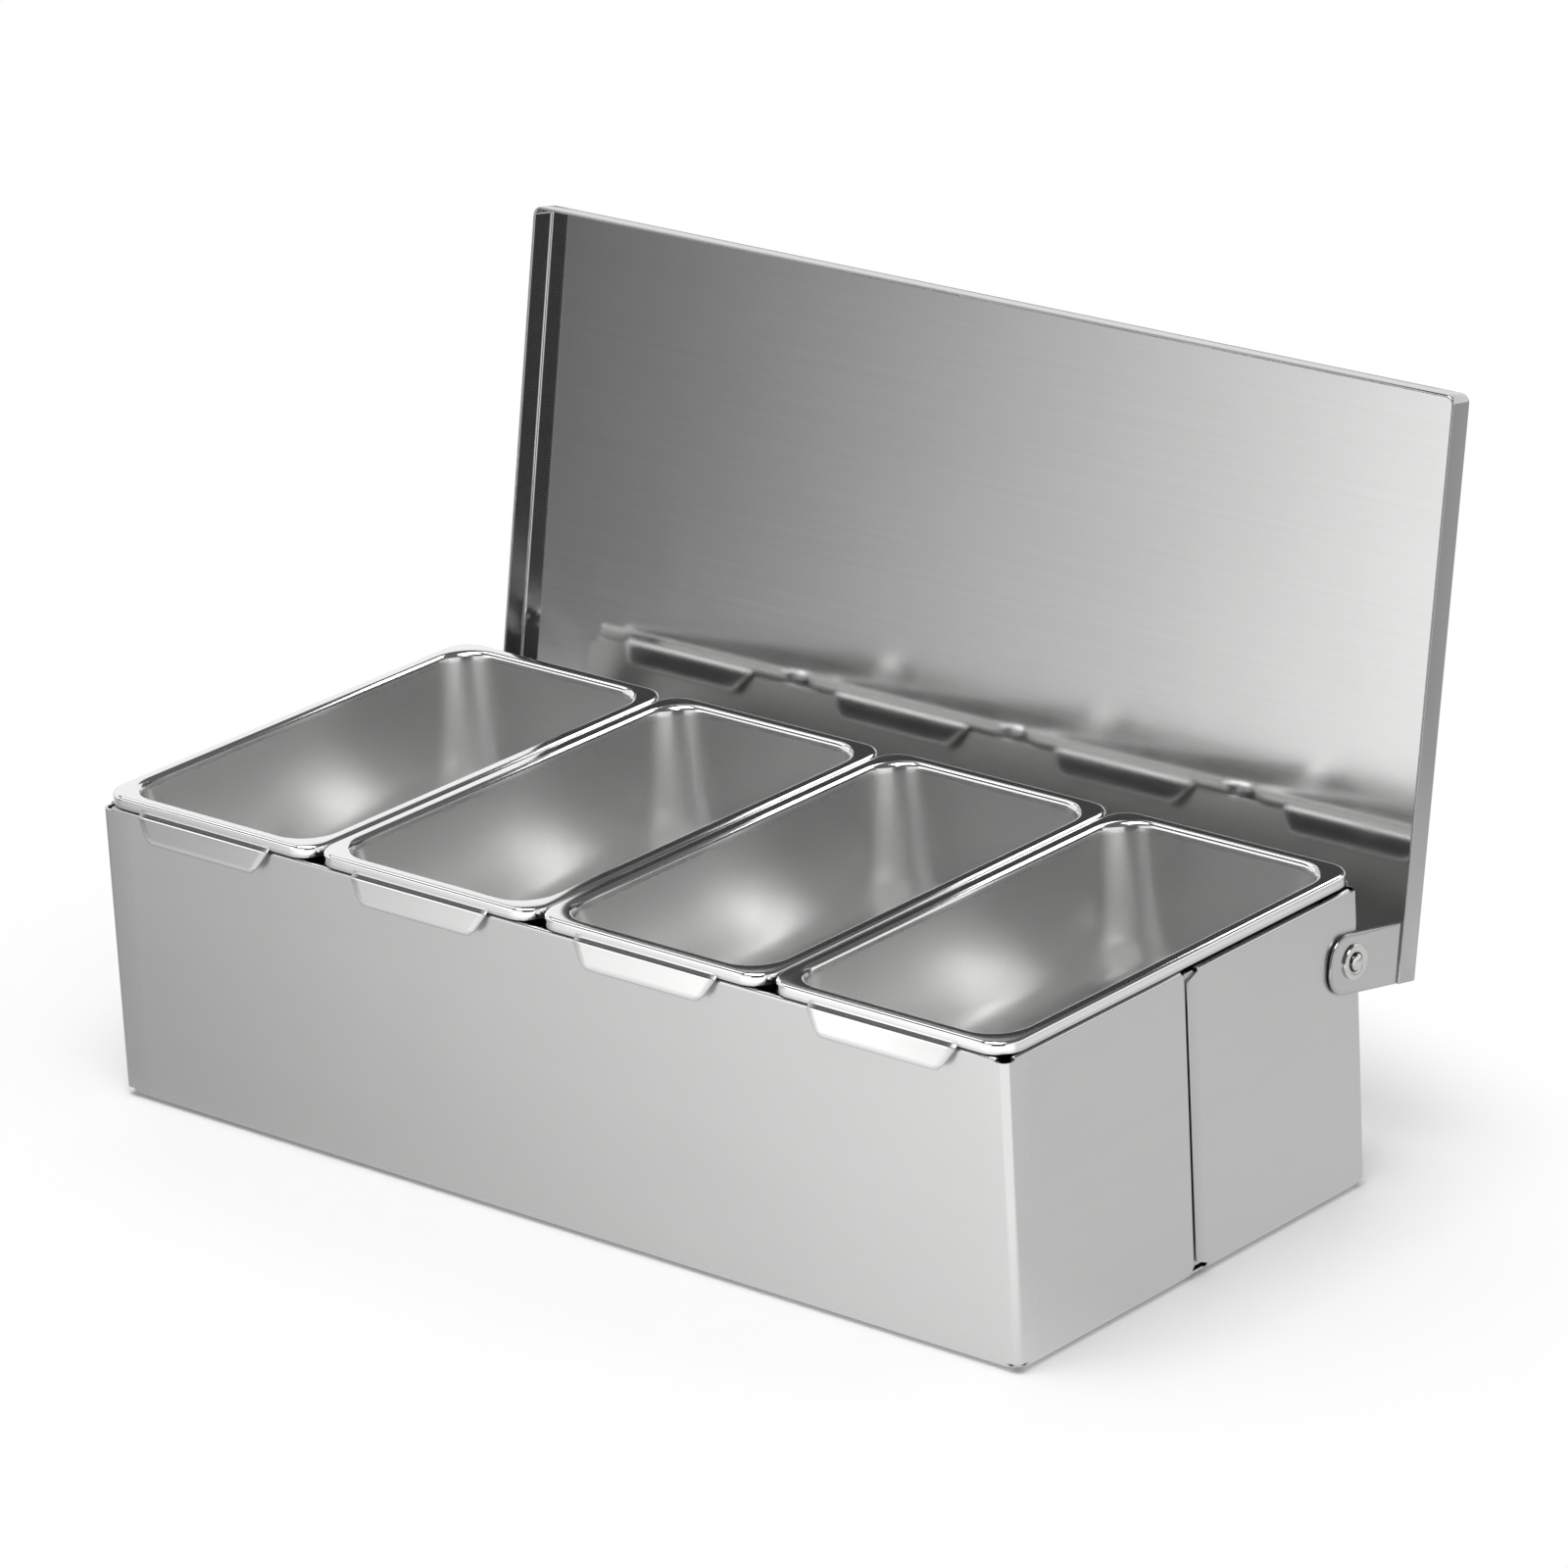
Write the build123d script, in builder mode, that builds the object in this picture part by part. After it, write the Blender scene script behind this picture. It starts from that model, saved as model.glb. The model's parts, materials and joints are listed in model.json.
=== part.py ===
from build123d import *
import os
from math import cos, radians, sin

# Bar garnish tray: a case of bent sheet, four lift-out pans and a lid on two rivets.
# Origin in the middle of the underside, +X to the right, +Y to the back, +Z up, millimetres.
# The lid stands open, leaning back.

# The case as a whole
case_width = 300.0
case_depth = 136.0
wall_top = 80.6
sheet = 0.7

# Bends and edges of the case
corner_radius = 2.2
bottom_bend_radius = 1.8
bottom_flange = 9.0
base_inset = 2.4
base_corner_radius = 4.0
hem_gap = 0.3
hem_return = 5.0
hem_relief = 1.2
rear_wing_drop = 0.8

# The lapped seam halfway along each side wall
seam_y = 0.0
joggle_length = 1.6
seam_lap = 12.0
lap_margin = 8.0
lap_neck = 3.6
lap_neck_margin = 0.4
seam_corner_radius = 3.0

# The pans
pan_count = 4
pan_gap = 0.6
pan_sheet = 0.6
seat_gap = 0.3
rim_height = 3.2
rim_flange = 4.2
rim_corner_radius = 7.4
rim_bend_radius = 1.0
mouth_corner_radius = 10.0
mouth_bend_radius = 1.5
pan_depth = 46.0
wall_draft = 3.2
floor_corner_radius = 18.0
floor_bend_radius = 16.0

# The tab that hangs over the wall at the front and the back of each pan
tab_top_width = 46.0
tab_bottom_width = 38.0
tab_root = 1.6
tab_drop = 6.0
tab_wall_gap = 0.6
tab_flare = 1.6
tab_bend_radius = 0.8

# The lid
lid_lean = 10.9
pivot_setback = 4.4
pivot_drop = 19.2
panel_rise = 26.1
lid_reach = 139.1
lid_tail = 8.3
lid_flange = 7.5
lid_corner_radius = 2.4
lid_bend_radius = 1.4

# The hinge at each end of the lid
ear_thickness = 0.9
ear_nose = 9.3
ear_top = 7.3
ear_nose_radius = 6.5
ear_heel_radius = 2.0
ear_heel_gap = 0.1
washer_thickness = 0.3
washer_radius = 3.6
running_gap = 0.05
pin_clearance = 0.05
shank_radius = 1.5
head_radius = 4.6
head_thickness = 0.8
head_edge_radius = 0.4
dome_radius = 2.3
dome_height = 0.9
tail_radius = 2.2
tail_height = 1.2

# How far a cut runs past what it cuts
overrun = 1.0

# Turns of a bend
quarter_turn = 90
half_turn = 180

# Places worked out from the sizes above
half_width = case_width / 2
half_depth = case_depth / 2
flange_level = sheet + sheet / 2
wall_x = half_width - sheet / 2
wall_y = half_depth - sheet / 2
hem_radius = (sheet + hem_gap) / 2
corner_bend = corner_radius - sheet / 2
bottom_bend = bottom_bend_radius - sheet / 2
upright_bottom = flange_level + bottom_bend
hem_inset = corner_radius + hem_relief
pan_pitch = case_width / pan_count
rim_width = pan_pitch - pan_gap
rim_depth = case_depth
rim_bottom = wall_top + seat_gap
rim_top = rim_bottom + rim_height
mouth_width = rim_width - rim_flange * 2
mouth_depth = rim_depth - rim_flange * 2
pivot_y = half_depth - pivot_setback
pivot_z = wall_top - pivot_drop
ear_inner = half_width + washer_thickness + running_gap
ear_outer = ear_inner + ear_thickness
lid_half_width = ear_outer + sheet
head_inner = ear_outer + running_gap

# The lid's own frame: local X along the hinge, local Z out of the panel, local Y towards its back edge
lean = radians(lid_lean)
panel_normal = (0, cos(lean), -sin(lean))
panel_up = (0, sin(lean), cos(lean))
lid_frame = Plane(origin=(0, pivot_y, pivot_z), x_dir=(1, 0, 0), z_dir=panel_normal)

os.makedirs("parts", exist_ok=True)


# Section of a wall, seen along its length: turned-in bottom flange, bottom bend, upright, folded hem.
# The line runs along the middle of the sheet; side 1 puts the outside at the low end of local X.
def wall_section_line(face, top, side):
    """Draw the middle line of a wall whose upright stands at face, in the sketch's own plane."""
    inner_end = face + side * (bottom_flange - sheet / 2)
    flat = Line((inner_end, flange_level), (face + side * bottom_bend, flange_level))
    foot = JernArc(flat @ 1, flat % 1, bottom_bend, -side * quarter_turn)
    upright = Line(foot @ 1, (face, top - sheet / 2 - hem_radius))
    fold = JernArc(upright @ 1, upright % 1, hem_radius, -side * half_turn)
    Line(fold @ 1, (face + side * hem_radius * 2, top - sheet / 2 - hem_radius - hem_return))


# Front wrap: front wall and the front halves of both side walls
wing_reach = half_depth - hem_inset
joggle_start = seam_y - joggle_length
joggle_end = seam_y - sheet / 2
wing_length = wing_reach + joggle_start - hem_relief
front_length = case_width - hem_inset * 2
upright_top = wall_top - sheet / 2 - hem_radius
joggle_depth = sheet
tongue_bottom = upright_bottom + lap_neck_margin
tongue_top = upright_top - lap_neck_margin

with BuildPart() as front_wrap:
    with BuildSketch(Plane.YZ.offset(-front_length / 2)):
        with BuildLine():
            wall_section_line(-wall_y, wall_top, 1)
        trace(line_width=sheet)
    extrude(amount=front_length)
    for side in (1, -1):
        with BuildSketch(Plane.XZ.offset(wing_reach)):
            with BuildLine():
                wall_section_line(-side * wall_x, wall_top, side)
            trace(line_width=sheet)
        extrude(amount=-wing_length)
    with BuildSketch(Plane.XY.offset(upright_bottom)):
        with BuildLine():
            FilletPolyline(
                (-wall_x, joggle_start),
                (-wall_x, -wall_y),
                (wall_x, -wall_y),
                (wall_x, joggle_start),
                radius=corner_bend,
            )
        trace(line_width=sheet)
    extrude(amount=upright_top - upright_bottom)
    for side in (1, -1):
        with BuildSketch(Plane.XY.offset(tongue_bottom)):
            with BuildLine():
                FilletPolyline(
                    (side * wall_x, joggle_start - joggle_length),
                    (side * wall_x, joggle_start),
                    (side * (wall_x - joggle_depth), joggle_end),
                    (side * (wall_x - joggle_depth), seam_y + seam_lap),
                    radius=sheet,
                )
            trace(line_width=sheet)
        extrude(amount=tongue_top - tongue_bottom)
    # Past its neck the tongue is narrower, so that it clears the folded hem and the flange of the rear wrap
    shoulder = lap_margin - lap_neck_margin + overrun
    for low in (tongue_bottom - overrun, upright_top - lap_margin):
        with BuildSketch(Plane.YZ.offset(-half_width)):
            with Locations((seam_y + lap_neck, low)):
                Rectangle(seam_lap + overrun - lap_neck, shoulder, align=Align.MIN)
        extrude(amount=case_width, mode=Mode.SUBTRACT)

# Rear wrap: rear wall and the rear halves of both side walls, pierced for the rivets
wing_hem_start = seam_y + seam_corner_radius + hem_relief
rear_wing_top = wall_top - rear_wing_drop
rear_upright_top = upright_top - rear_wing_drop
rivet_line = Plane(origin=(0, pivot_y, pivot_z), x_dir=(0, 1, 0), z_dir=(1, 0, 0))

with BuildPart() as rear_wrap:
    with BuildSketch(Plane.XY.offset(upright_bottom)):
        with BuildLine():
            FilletPolyline(
                (-wall_x, seam_y),
                (-wall_x, wall_y),
                (wall_x, wall_y),
                (wall_x, seam_y),
                radius=corner_bend,
            )
        trace(line_width=sheet)
    extrude(amount=rear_upright_top - upright_bottom)
    seam_edges = rear_wrap.edges().filter_by(Axis.X).group_by(Axis.Y)[0]
    fillet(seam_edges, radius=seam_corner_radius)
    for side in (1, -1):
        with BuildSketch(Plane.XZ.offset(-wing_hem_start)):
            with BuildLine():
                wall_section_line(-side * wall_x, rear_wing_top, side)
            trace(line_width=sheet)
        extrude(amount=-(wing_reach - wing_hem_start))
    with BuildSketch(Plane.YZ.offset(-front_length / 2)):
        with BuildLine():
            wall_section_line(wall_y, wall_top, -1)
        trace(line_width=sheet)
    extrude(amount=front_length)
    with BuildSketch(rivet_line.offset(-half_width - overrun)):
        Circle(shank_radius + pin_clearance)
    extrude(amount=(half_width + overrun) * 2, mode=Mode.SUBTRACT)

# Base plate: lies flat under the turned-in flanges
with BuildPart() as base_plate:
    with BuildSketch(Plane.XY):
        RectangleRounded(
            case_width - base_inset * 2,
            case_depth - base_inset * 2,
            base_corner_radius,
        )
    extrude(amount=sheet)

# The pans are alike: a rim, a tub and two tabs, shaped once in the middle of the tray
tub_top = rim_top - pan_sheet
tub_bottom = rim_top - pan_depth
tab_top = rim_bottom + tab_root
tab_bottom = wall_top - tab_drop
tab_face = half_depth - pan_sheet / 2
tab_knee = half_depth + tab_wall_gap + pan_sheet / 2
tab_toe = tab_knee + tab_flare


def tub_form(wall, top, bottom):
    """Shape the space inside a pan, grown by wall, from its mouth at top to its rounded floor at bottom."""
    with BuildPart() as form:
        with BuildSketch(Plane.XY.offset(top)):
            RectangleRounded(
                mouth_width + wall * 2,
                mouth_depth + wall * 2,
                mouth_corner_radius + wall,
            )
        with BuildSketch(Plane.XY.offset(bottom)):
            RectangleRounded(
                mouth_width + (wall - wall_draft) * 2,
                mouth_depth + (wall - wall_draft) * 2,
                floor_corner_radius + wall,
            )
        loft(ruled=True)
        fillet(form.faces().sort_by(Axis.Z)[0].edges(), radius=floor_bend_radius + wall)
    return form.part


tub_outside = tub_form(pan_sheet, tub_top, tub_bottom)
tub_inside = tub_form(0, rim_top, tub_bottom + pan_sheet)

with BuildPart() as pan_form:
    # Rim: a flat ring with a rounded outer bend and a short skirt
    with BuildSketch(Plane.XY.offset(rim_bottom)):
        RectangleRounded(rim_width, rim_depth, rim_corner_radius)
    extrude(amount=rim_height)
    fillet(pan_form.faces().sort_by(Axis.Z)[-1].edges(), radius=rim_bend_radius)
    offset(amount=-pan_sheet, openings=pan_form.faces().sort_by(Axis.Z)[0])
    # Tub: walls that lean in towards a rounded floor
    add(tub_outside)
    add(tub_inside, mode=Mode.SUBTRACT)
    mouth_edges = pan_form.faces().sort_by(Axis.Z)[-1].inner_wires()[0].edges()
    fillet(mouth_edges, radius=mouth_bend_radius)
    # Tabs: they leave the skirt, clear the wall and flare out, narrowing downwards
    for side in (1, -1):
        with BuildSketch(Plane.YZ.offset(-tab_top_width / 2)):
            with BuildLine():
                FilletPolyline(
                    (-side * tab_face, tab_top),
                    (-side * tab_face, rim_bottom + pan_sheet),
                    (-side * tab_knee, wall_top),
                    (-side * tab_toe, tab_bottom),
                    radius=tab_bend_radius,
                )
            trace(line_width=pan_sheet)
        extrude(amount=tab_top_width)
        tab_plane = Plane((0, -side * half_depth, tab_bottom), x_dir=(side, 0, 0), z_dir=(0, -side, 0))
        with BuildSketch(tab_plane):
            with Locations((0, (tab_drop - overrun) / 2)):
                Rectangle(tab_top_width + overrun * 2, tab_drop + overrun)
            with BuildLine():
                Polyline(
                    (-tab_bottom_width / 2, 0),
                    (tab_bottom_width / 2, 0),
                    (tab_top_width / 2, tab_drop),
                    (-tab_top_width / 2, tab_drop),
                    close=True,
                )
            make_face(mode=Mode.SUBTRACT)
        extrude(amount=tab_toe - half_depth + overrun, mode=Mode.SUBTRACT)

for number in range(pan_count):
    with BuildPart() as pan:
        with Locations(((number - (pan_count - 1) / 2) * pan_pitch, 0, 0)):
            add(pan_form.part)
    pan.part.label = f"pan_{number + 1}"
    export_step(pan.part, f"parts/pan_{number + 1}.step")

# Lid panel: one sheet with flanges at its front edge and both ends, open at the back edge
lid_length = lid_reach + lid_tail
lid_middle = (lid_tail - lid_reach) / 2
normal_axis = Axis((0, pivot_y, pivot_z), panel_normal)
up_axis = Axis((0, pivot_y, pivot_z), panel_up)

with BuildPart() as lid_panel:
    with BuildSketch(lid_frame.offset(panel_rise - lid_flange)):
        with Locations((0, lid_middle)):
            Rectangle(lid_half_width * 2, lid_length)
    extrude(amount=lid_flange)
    fillet(lid_panel.edges().filter_by(normal_axis).group_by(up_axis)[-1], radius=lid_corner_radius)
    outer_edges = lid_panel.faces().sort_by(normal_axis)[-1].edges().sort_by(up_axis)[1:]
    fillet(outer_edges, radius=lid_bend_radius)
    open_faces = [
        lid_panel.faces().sort_by(normal_axis)[0],
        lid_panel.faces().sort_by(up_axis)[0],
    ]
    offset(amount=-sheet, openings=open_faces)

# Lid ears: flat plates inside the end flanges, pierced for the rivets
ear_heel = panel_rise - lid_bend_radius - ear_heel_gap


def ear_plate(inner_end):
    """Draw and extrude one ear whose face nearest the left end of the tray stands at inner_end."""
    ear_frame = Plane((inner_end, pivot_y, pivot_z), x_dir=panel_normal, z_dir=(1, 0, 0))
    with BuildPart() as ear:
        with BuildSketch(ear_frame) as outline:
            with BuildLine():
                Polyline(
                    (-ear_nose, -lid_tail),
                    (ear_heel, -lid_tail),
                    (ear_heel, ear_top),
                    (-ear_nose, ear_top),
                    close=True,
                )
            make_face()
            fillet(outline.vertices().group_by(Axis.X)[0], radius=ear_nose_radius)
            fillet(outline.vertices().group_by(Axis.X)[-1].sort_by(Axis.Y)[0], radius=ear_heel_radius)
            Circle(shank_radius + pin_clearance, mode=Mode.SUBTRACT)
        extrude(amount=ear_thickness)
    return ear


lid_ear_right = ear_plate(ear_inner)
lid_ear_left = ear_plate(-ear_outer)

# Rivets: a tail inside the wall, a shank, and a ringed head with a small dome outside the ear
wall_inner = half_width - sheet
head_outer = head_inner + head_thickness
tail_sphere = (tail_radius**2 + tail_height**2) / (tail_height * 2)
dome_sphere = (dome_radius**2 + dome_height**2) / (dome_height * 2)

with BuildPart() as rivet_right:
    with BuildSketch(Plane((0, pivot_y, pivot_z), x_dir=(1, 0, 0), z_dir=(0, -1, 0))) as profile:
        with BuildLine():
            Polyline(
                (head_outer, dome_radius),
                (head_outer, head_radius),
                (head_inner, head_radius),
                (head_inner, shank_radius),
                (wall_inner, shank_radius),
                (wall_inner, tail_radius),
            )
            RadiusArc((wall_inner, tail_radius), (wall_inner - tail_height, 0), -tail_sphere)
            Line((wall_inner - tail_height, 0), (head_outer + dome_height, 0))
            RadiusArc((head_outer + dome_height, 0), (head_outer, dome_radius), -dome_sphere)
        make_face()
        fillet(profile.vertices().group_by(Axis.Y)[-1].sort_by(Axis.X)[-1], radius=head_edge_radius)
    revolve(axis=Axis((0, pivot_y, pivot_z), (1, 0, 0)))

with BuildPart() as rivet_left:
    mirror(rivet_right.part, about=Plane.YZ)

# Friction washers between the walls and the ears
with BuildPart() as friction_washer_right:
    with BuildSketch(rivet_line.offset(half_width)):
        Circle(washer_radius)
        Circle(shank_radius + pin_clearance, mode=Mode.SUBTRACT)
    extrude(amount=washer_thickness)

with BuildPart() as friction_washer_left:
    mirror(friction_washer_right.part, about=Plane.YZ)

front_wrap.part.label = "front_wrap"
export_step(front_wrap.part, "parts/front_wrap.step")
rear_wrap.part.label = "rear_wrap"
export_step(rear_wrap.part, "parts/rear_wrap.step")
base_plate.part.label = "base_plate"
export_step(base_plate.part, "parts/base_plate.step")
lid_panel.part.label = "lid_panel"
export_step(lid_panel.part, "parts/lid_panel.step")
lid_ear_right.part.label = "lid_ear_right"
export_step(lid_ear_right.part, "parts/lid_ear_right.step")
lid_ear_left.part.label = "lid_ear_left"
export_step(lid_ear_left.part, "parts/lid_ear_left.step")
rivet_right.part.label = "rivet_right"
export_step(rivet_right.part, "parts/rivet_right.step")
rivet_left.part.label = "rivet_left"
export_step(rivet_left.part, "parts/rivet_left.step")
friction_washer_right.part.label = "friction_washer_right"
export_step(friction_washer_right.part, "parts/friction_washer_right.step")
friction_washer_left.part.label = "friction_washer_left"
export_step(friction_washer_left.part, "parts/friction_washer_left.step")
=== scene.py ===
"""Looks of the bar garnish tray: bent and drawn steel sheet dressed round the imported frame.

Lengths are millimetres where nothing else is said. They become metres when a patch becomes a mesh.
"""

import json
import logging
import math
from dataclasses import dataclass, replace
from enum import Enum

import bpy
import numpy as np
from bpy.types import ID, Material, Node, NodeSocket, NodeTree, Object
from mathutils import Matrix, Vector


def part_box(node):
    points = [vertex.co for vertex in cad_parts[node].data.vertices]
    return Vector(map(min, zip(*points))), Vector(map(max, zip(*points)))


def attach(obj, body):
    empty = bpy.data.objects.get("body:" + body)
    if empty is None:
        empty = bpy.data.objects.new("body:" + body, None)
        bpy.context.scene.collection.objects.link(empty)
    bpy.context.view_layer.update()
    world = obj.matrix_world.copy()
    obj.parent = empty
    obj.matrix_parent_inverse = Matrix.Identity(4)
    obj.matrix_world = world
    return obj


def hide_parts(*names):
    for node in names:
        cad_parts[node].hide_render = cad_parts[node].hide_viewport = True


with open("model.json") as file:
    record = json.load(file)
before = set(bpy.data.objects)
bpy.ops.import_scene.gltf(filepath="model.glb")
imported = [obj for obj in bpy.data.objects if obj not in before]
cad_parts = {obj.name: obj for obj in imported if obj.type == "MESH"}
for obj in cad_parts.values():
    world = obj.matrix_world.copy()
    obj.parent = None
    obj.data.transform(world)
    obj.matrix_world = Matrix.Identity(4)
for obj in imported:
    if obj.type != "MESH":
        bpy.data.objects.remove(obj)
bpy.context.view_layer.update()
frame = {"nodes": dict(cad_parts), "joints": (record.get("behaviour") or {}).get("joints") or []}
LOG = logging.getLogger("bar_garnish_tray")
Pair = tuple[float, float]
Triple = tuple[float, float, float]
MM = 0.001
WELD = 0.0005
QUARTER_TURN = math.pi / 2
SHARP_ANGLE = math.radians(40)
# Distances from a rounded free edge at which points stand, as shares of the edge's radius
EDGE_SHARES = 1.0 - np.cos(np.linspace(0.0, QUARTER_TURN, 5))
# A section that ends past a bend runs on by this share of the bend's radius
PAST_BEND_SHARE = 1.2
# A cut edge's colour is darkened over this share of the sheet's thickness, by this much, as painted shade
CUT_SHARE, CUT_PAINTED_SHADE = 0.7, 0.35
WHITE = (1.0, 1.0, 1.0, 1.0)
# The sine of the angle to the plumb line below which a direction counts as upright
UPRIGHT = 1e-6


class Slot(Enum):
    """The record's material slots."""

    CASE = "case_sheet"
    LID = "lid_sheet"
    PAN = "pan_sheet"
    RIVET = "rivet_metal"
    WASHER = "washer_nylon"


class Body(Enum):
    """The bodies that carry more than one piece."""

    CASE = "case"
    LID = "lid"


class Side(Enum):
    """The sides of a sheet's grid."""

    FIRST_ROW = "first row"
    LAST_ROW = "last row"
    FIRST_COLUMN = "first column"
    LAST_COLUMN = "last column"


class End(Enum):
    """The two ends of the tray, by the sign of X there."""

    LEFT = -1
    RIGHT = 1


ALL_SIDES = frozenset(Side)
BOTH_ENDS = frozenset({Side.FIRST_COLUMN, Side.LAST_COLUMN})
ONE_ROUND = frozenset({Side.FIRST_ROW})


def together(*parts: np.ndarray | float) -> np.ndarray:
    """Spread arrays to one shape and put them side by side along a new last axis."""
    return np.stack(np.broadcast_arrays(*parts), -1)


def travel(points: np.ndarray) -> np.ndarray:
    """Give each point's distance from the first one along their line."""
    return np.concatenate([[0.0], np.cumsum(np.hypot(*np.diff(points, axis=0).T))])


@dataclass(frozen=True)
class Trace:
    """The middle line of a sheet, seen in section or from above.

    Attributes:
        points: places along the line, two columns.
        outward: unit directions to the right of travel, the sheet's outer side.
        travelled: distance from the start of the line.
        bent: 1 on the arcs and 0 on the straight runs.
    """

    points: np.ndarray
    outward: np.ndarray
    travelled: np.ndarray
    bent: np.ndarray


def crowded(length: float, spacing: float, soft_start: float, soft_end: float) -> np.ndarray:
    """Space points along a straight run, close together where it ends in a rounded edge.

    Near a rounded end the distance from the end is the edge radius times one less the cosine of even angles.

    Args:
        length: length of the run.
        spacing: widest even gap between points.
        soft_start: radius of the rounded edge at the start, or 0.
        soft_end: radius of the rounded edge at the end, or 0.

    Returns:
        Distances from the start, from 0 to length.
    """
    low, high = min(soft_start, length / 3), length - min(soft_end, length / 3)
    steps = max(1, math.ceil((high - low) / spacing))
    parts = [np.linspace(low, high, steps + 1)]
    if low > 0:
        parts.insert(0, low * EDGE_SHARES[:-1])
    if high < length:
        parts.append(length - (length - high) * EDGE_SHARES[-2::-1])
    return np.concatenate(parts)


def trace_line(
    corners: list[Pair],
    radii: list[float],
    spacing: float = 8.0,
    soft_start: float = 0.0,
    soft_end: float = 0.0,
    bend_steps: int = 8,
) -> Trace:
    """Draw straight runs joined by tangent arcs, as a sheet's middle line.

    Each arc starts its radius times the tangent of half the turn before its corner. Its points turn by even
    angles about the centre, which lies one radius to the side that the line turns to.

    Args:
        corners: the points where the straight runs would meet, with both ends.
        radii: the arc radius at each corner between the ends.
        spacing: widest gap between points on a straight run.
        soft_start: edge radius at the start of the line, or 0.
        soft_end: edge radius at the end of the line, or 0.
        bend_steps: points in a quarter turn.

    Returns:
        The traced line.
    """
    corner = np.array(corners, float)
    step = np.diff(corner, axis=0)
    reach = np.hypot(step[:, 0], step[:, 1])
    heading = np.arctan2(step[:, 1], step[:, 0])
    turn = (np.diff(heading) + math.pi) % (2 * math.pi) - math.pi
    radius = np.array(radii, float)
    cut = np.concatenate([[0.0], radius * np.tan(np.abs(turn) / 2), [0.0]])
    points, angles, bent = [corner[:1]], [heading[:1]], [np.zeros(1)]
    for n in range(len(step)):
        ahead = np.array([math.cos(heading[n]), math.sin(heading[n])])
        length = reach[n] - cut[n] - cut[n + 1]
        start = corner[n] + ahead * cut[n]
        if length > WELD:
            first, last = n == 0, n == len(step) - 1
            along = crowded(length, spacing, soft_start if first else 0.0, soft_end if last else 0.0)[1:]
            points.append(start + along[:, None] * ahead)
            angles.append(np.full(len(along), heading[n]))
            bent.append(np.zeros(len(along)))
        if n < len(turn) and radius[n] > 0:
            side = math.copysign(1.0, turn[n])
            centre = start + ahead * length + side * radius[n] * np.array([-ahead[1], ahead[0]])
            steps = max(2, math.ceil(bend_steps * abs(turn[n]) / QUARTER_TURN))
            swung = heading[n] + turn[n] * np.arange(1, steps + 1) / steps
            points.append(centre + side * radius[n] * together(np.sin(swung), -np.cos(swung)))
            angles.append(swung)
            bent.append(np.ones(steps))
    place, angle = np.concatenate(points), np.concatenate(angles)
    return Trace(place, together(np.sin(angle), -np.cos(angle)), travel(place), np.concatenate(bent))


def edge_round(distance: np.ndarray, radius: float) -> np.ndarray:
    """Give the share of full thickness near a free edge, which is a half circle in section.

    Args:
        distance: how far each point lies from the edge.
        radius: radius of the half circle.

    Returns:
        The root of one less the square of the share of the radius that is left.
    """
    left = 1.0 - np.clip(distance / radius, 0.0, 1.0)
    return np.sqrt(1.0 - left**2)


@dataclass(frozen=True)
class Patch:
    """A closed surface.

    Attributes:
        points: its points.
        quads: the numbers of each face's four points.
        run: place of each point on the flat sheet, in metres.
        wear_and_painted_light: 1 where bends and edges are rubbed smooth, which on the pans also paints a
            highlight into the colour; -1 where shade is painted into the colour.
    """

    points: np.ndarray
    quads: np.ndarray
    run: np.ndarray
    wear_and_painted_light: np.ndarray

    def welded(self) -> tuple[np.ndarray, np.ndarray, np.ndarray, np.ndarray]:
        """Join points that meet, drop the corners that vanish and turn the faces outwards.

        The faces are turned round where the signed volume, the sum of the corner products, is negative.

        Returns:
            Points, faces as rows of four corners, a mask of the corners to keep, and each point's source.
        """
        keys = np.round(self.points / WELD).astype(np.int64)
        _, source, back = np.unique(keys, axis=0, return_index=True, return_inverse=True)
        points = self.points[source]
        quads, run_of = back.reshape(-1)[self.quads], self.quads
        a, b, c, d = (points[quads[:, n]] for n in range(4))
        volume = np.einsum("ij,ij->", a, np.cross(b, c)) + np.einsum("ij,ij->", a, np.cross(c, d))
        if volume < 0:
            quads, run_of = quads[:, ::-1], run_of[:, ::-1]
        keep = quads != np.roll(quads, 1, axis=1)
        return points, np.stack([quads, run_of]), keep, source


def grid_quads(rows: int, columns: int, start: int) -> np.ndarray:
    """Number the faces of a grid of points.

    Args:
        rows: rows of points.
        columns: points in a row.
        start: number of the first point.

    Returns:
        Four point numbers a face, row by row.
    """
    row, column = np.mgrid[0 : rows - 1, 0 : columns - 1]
    first = (start + row * columns + column).reshape(-1)
    return together(first, first + 1, first + columns + 1, first + columns)


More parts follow.
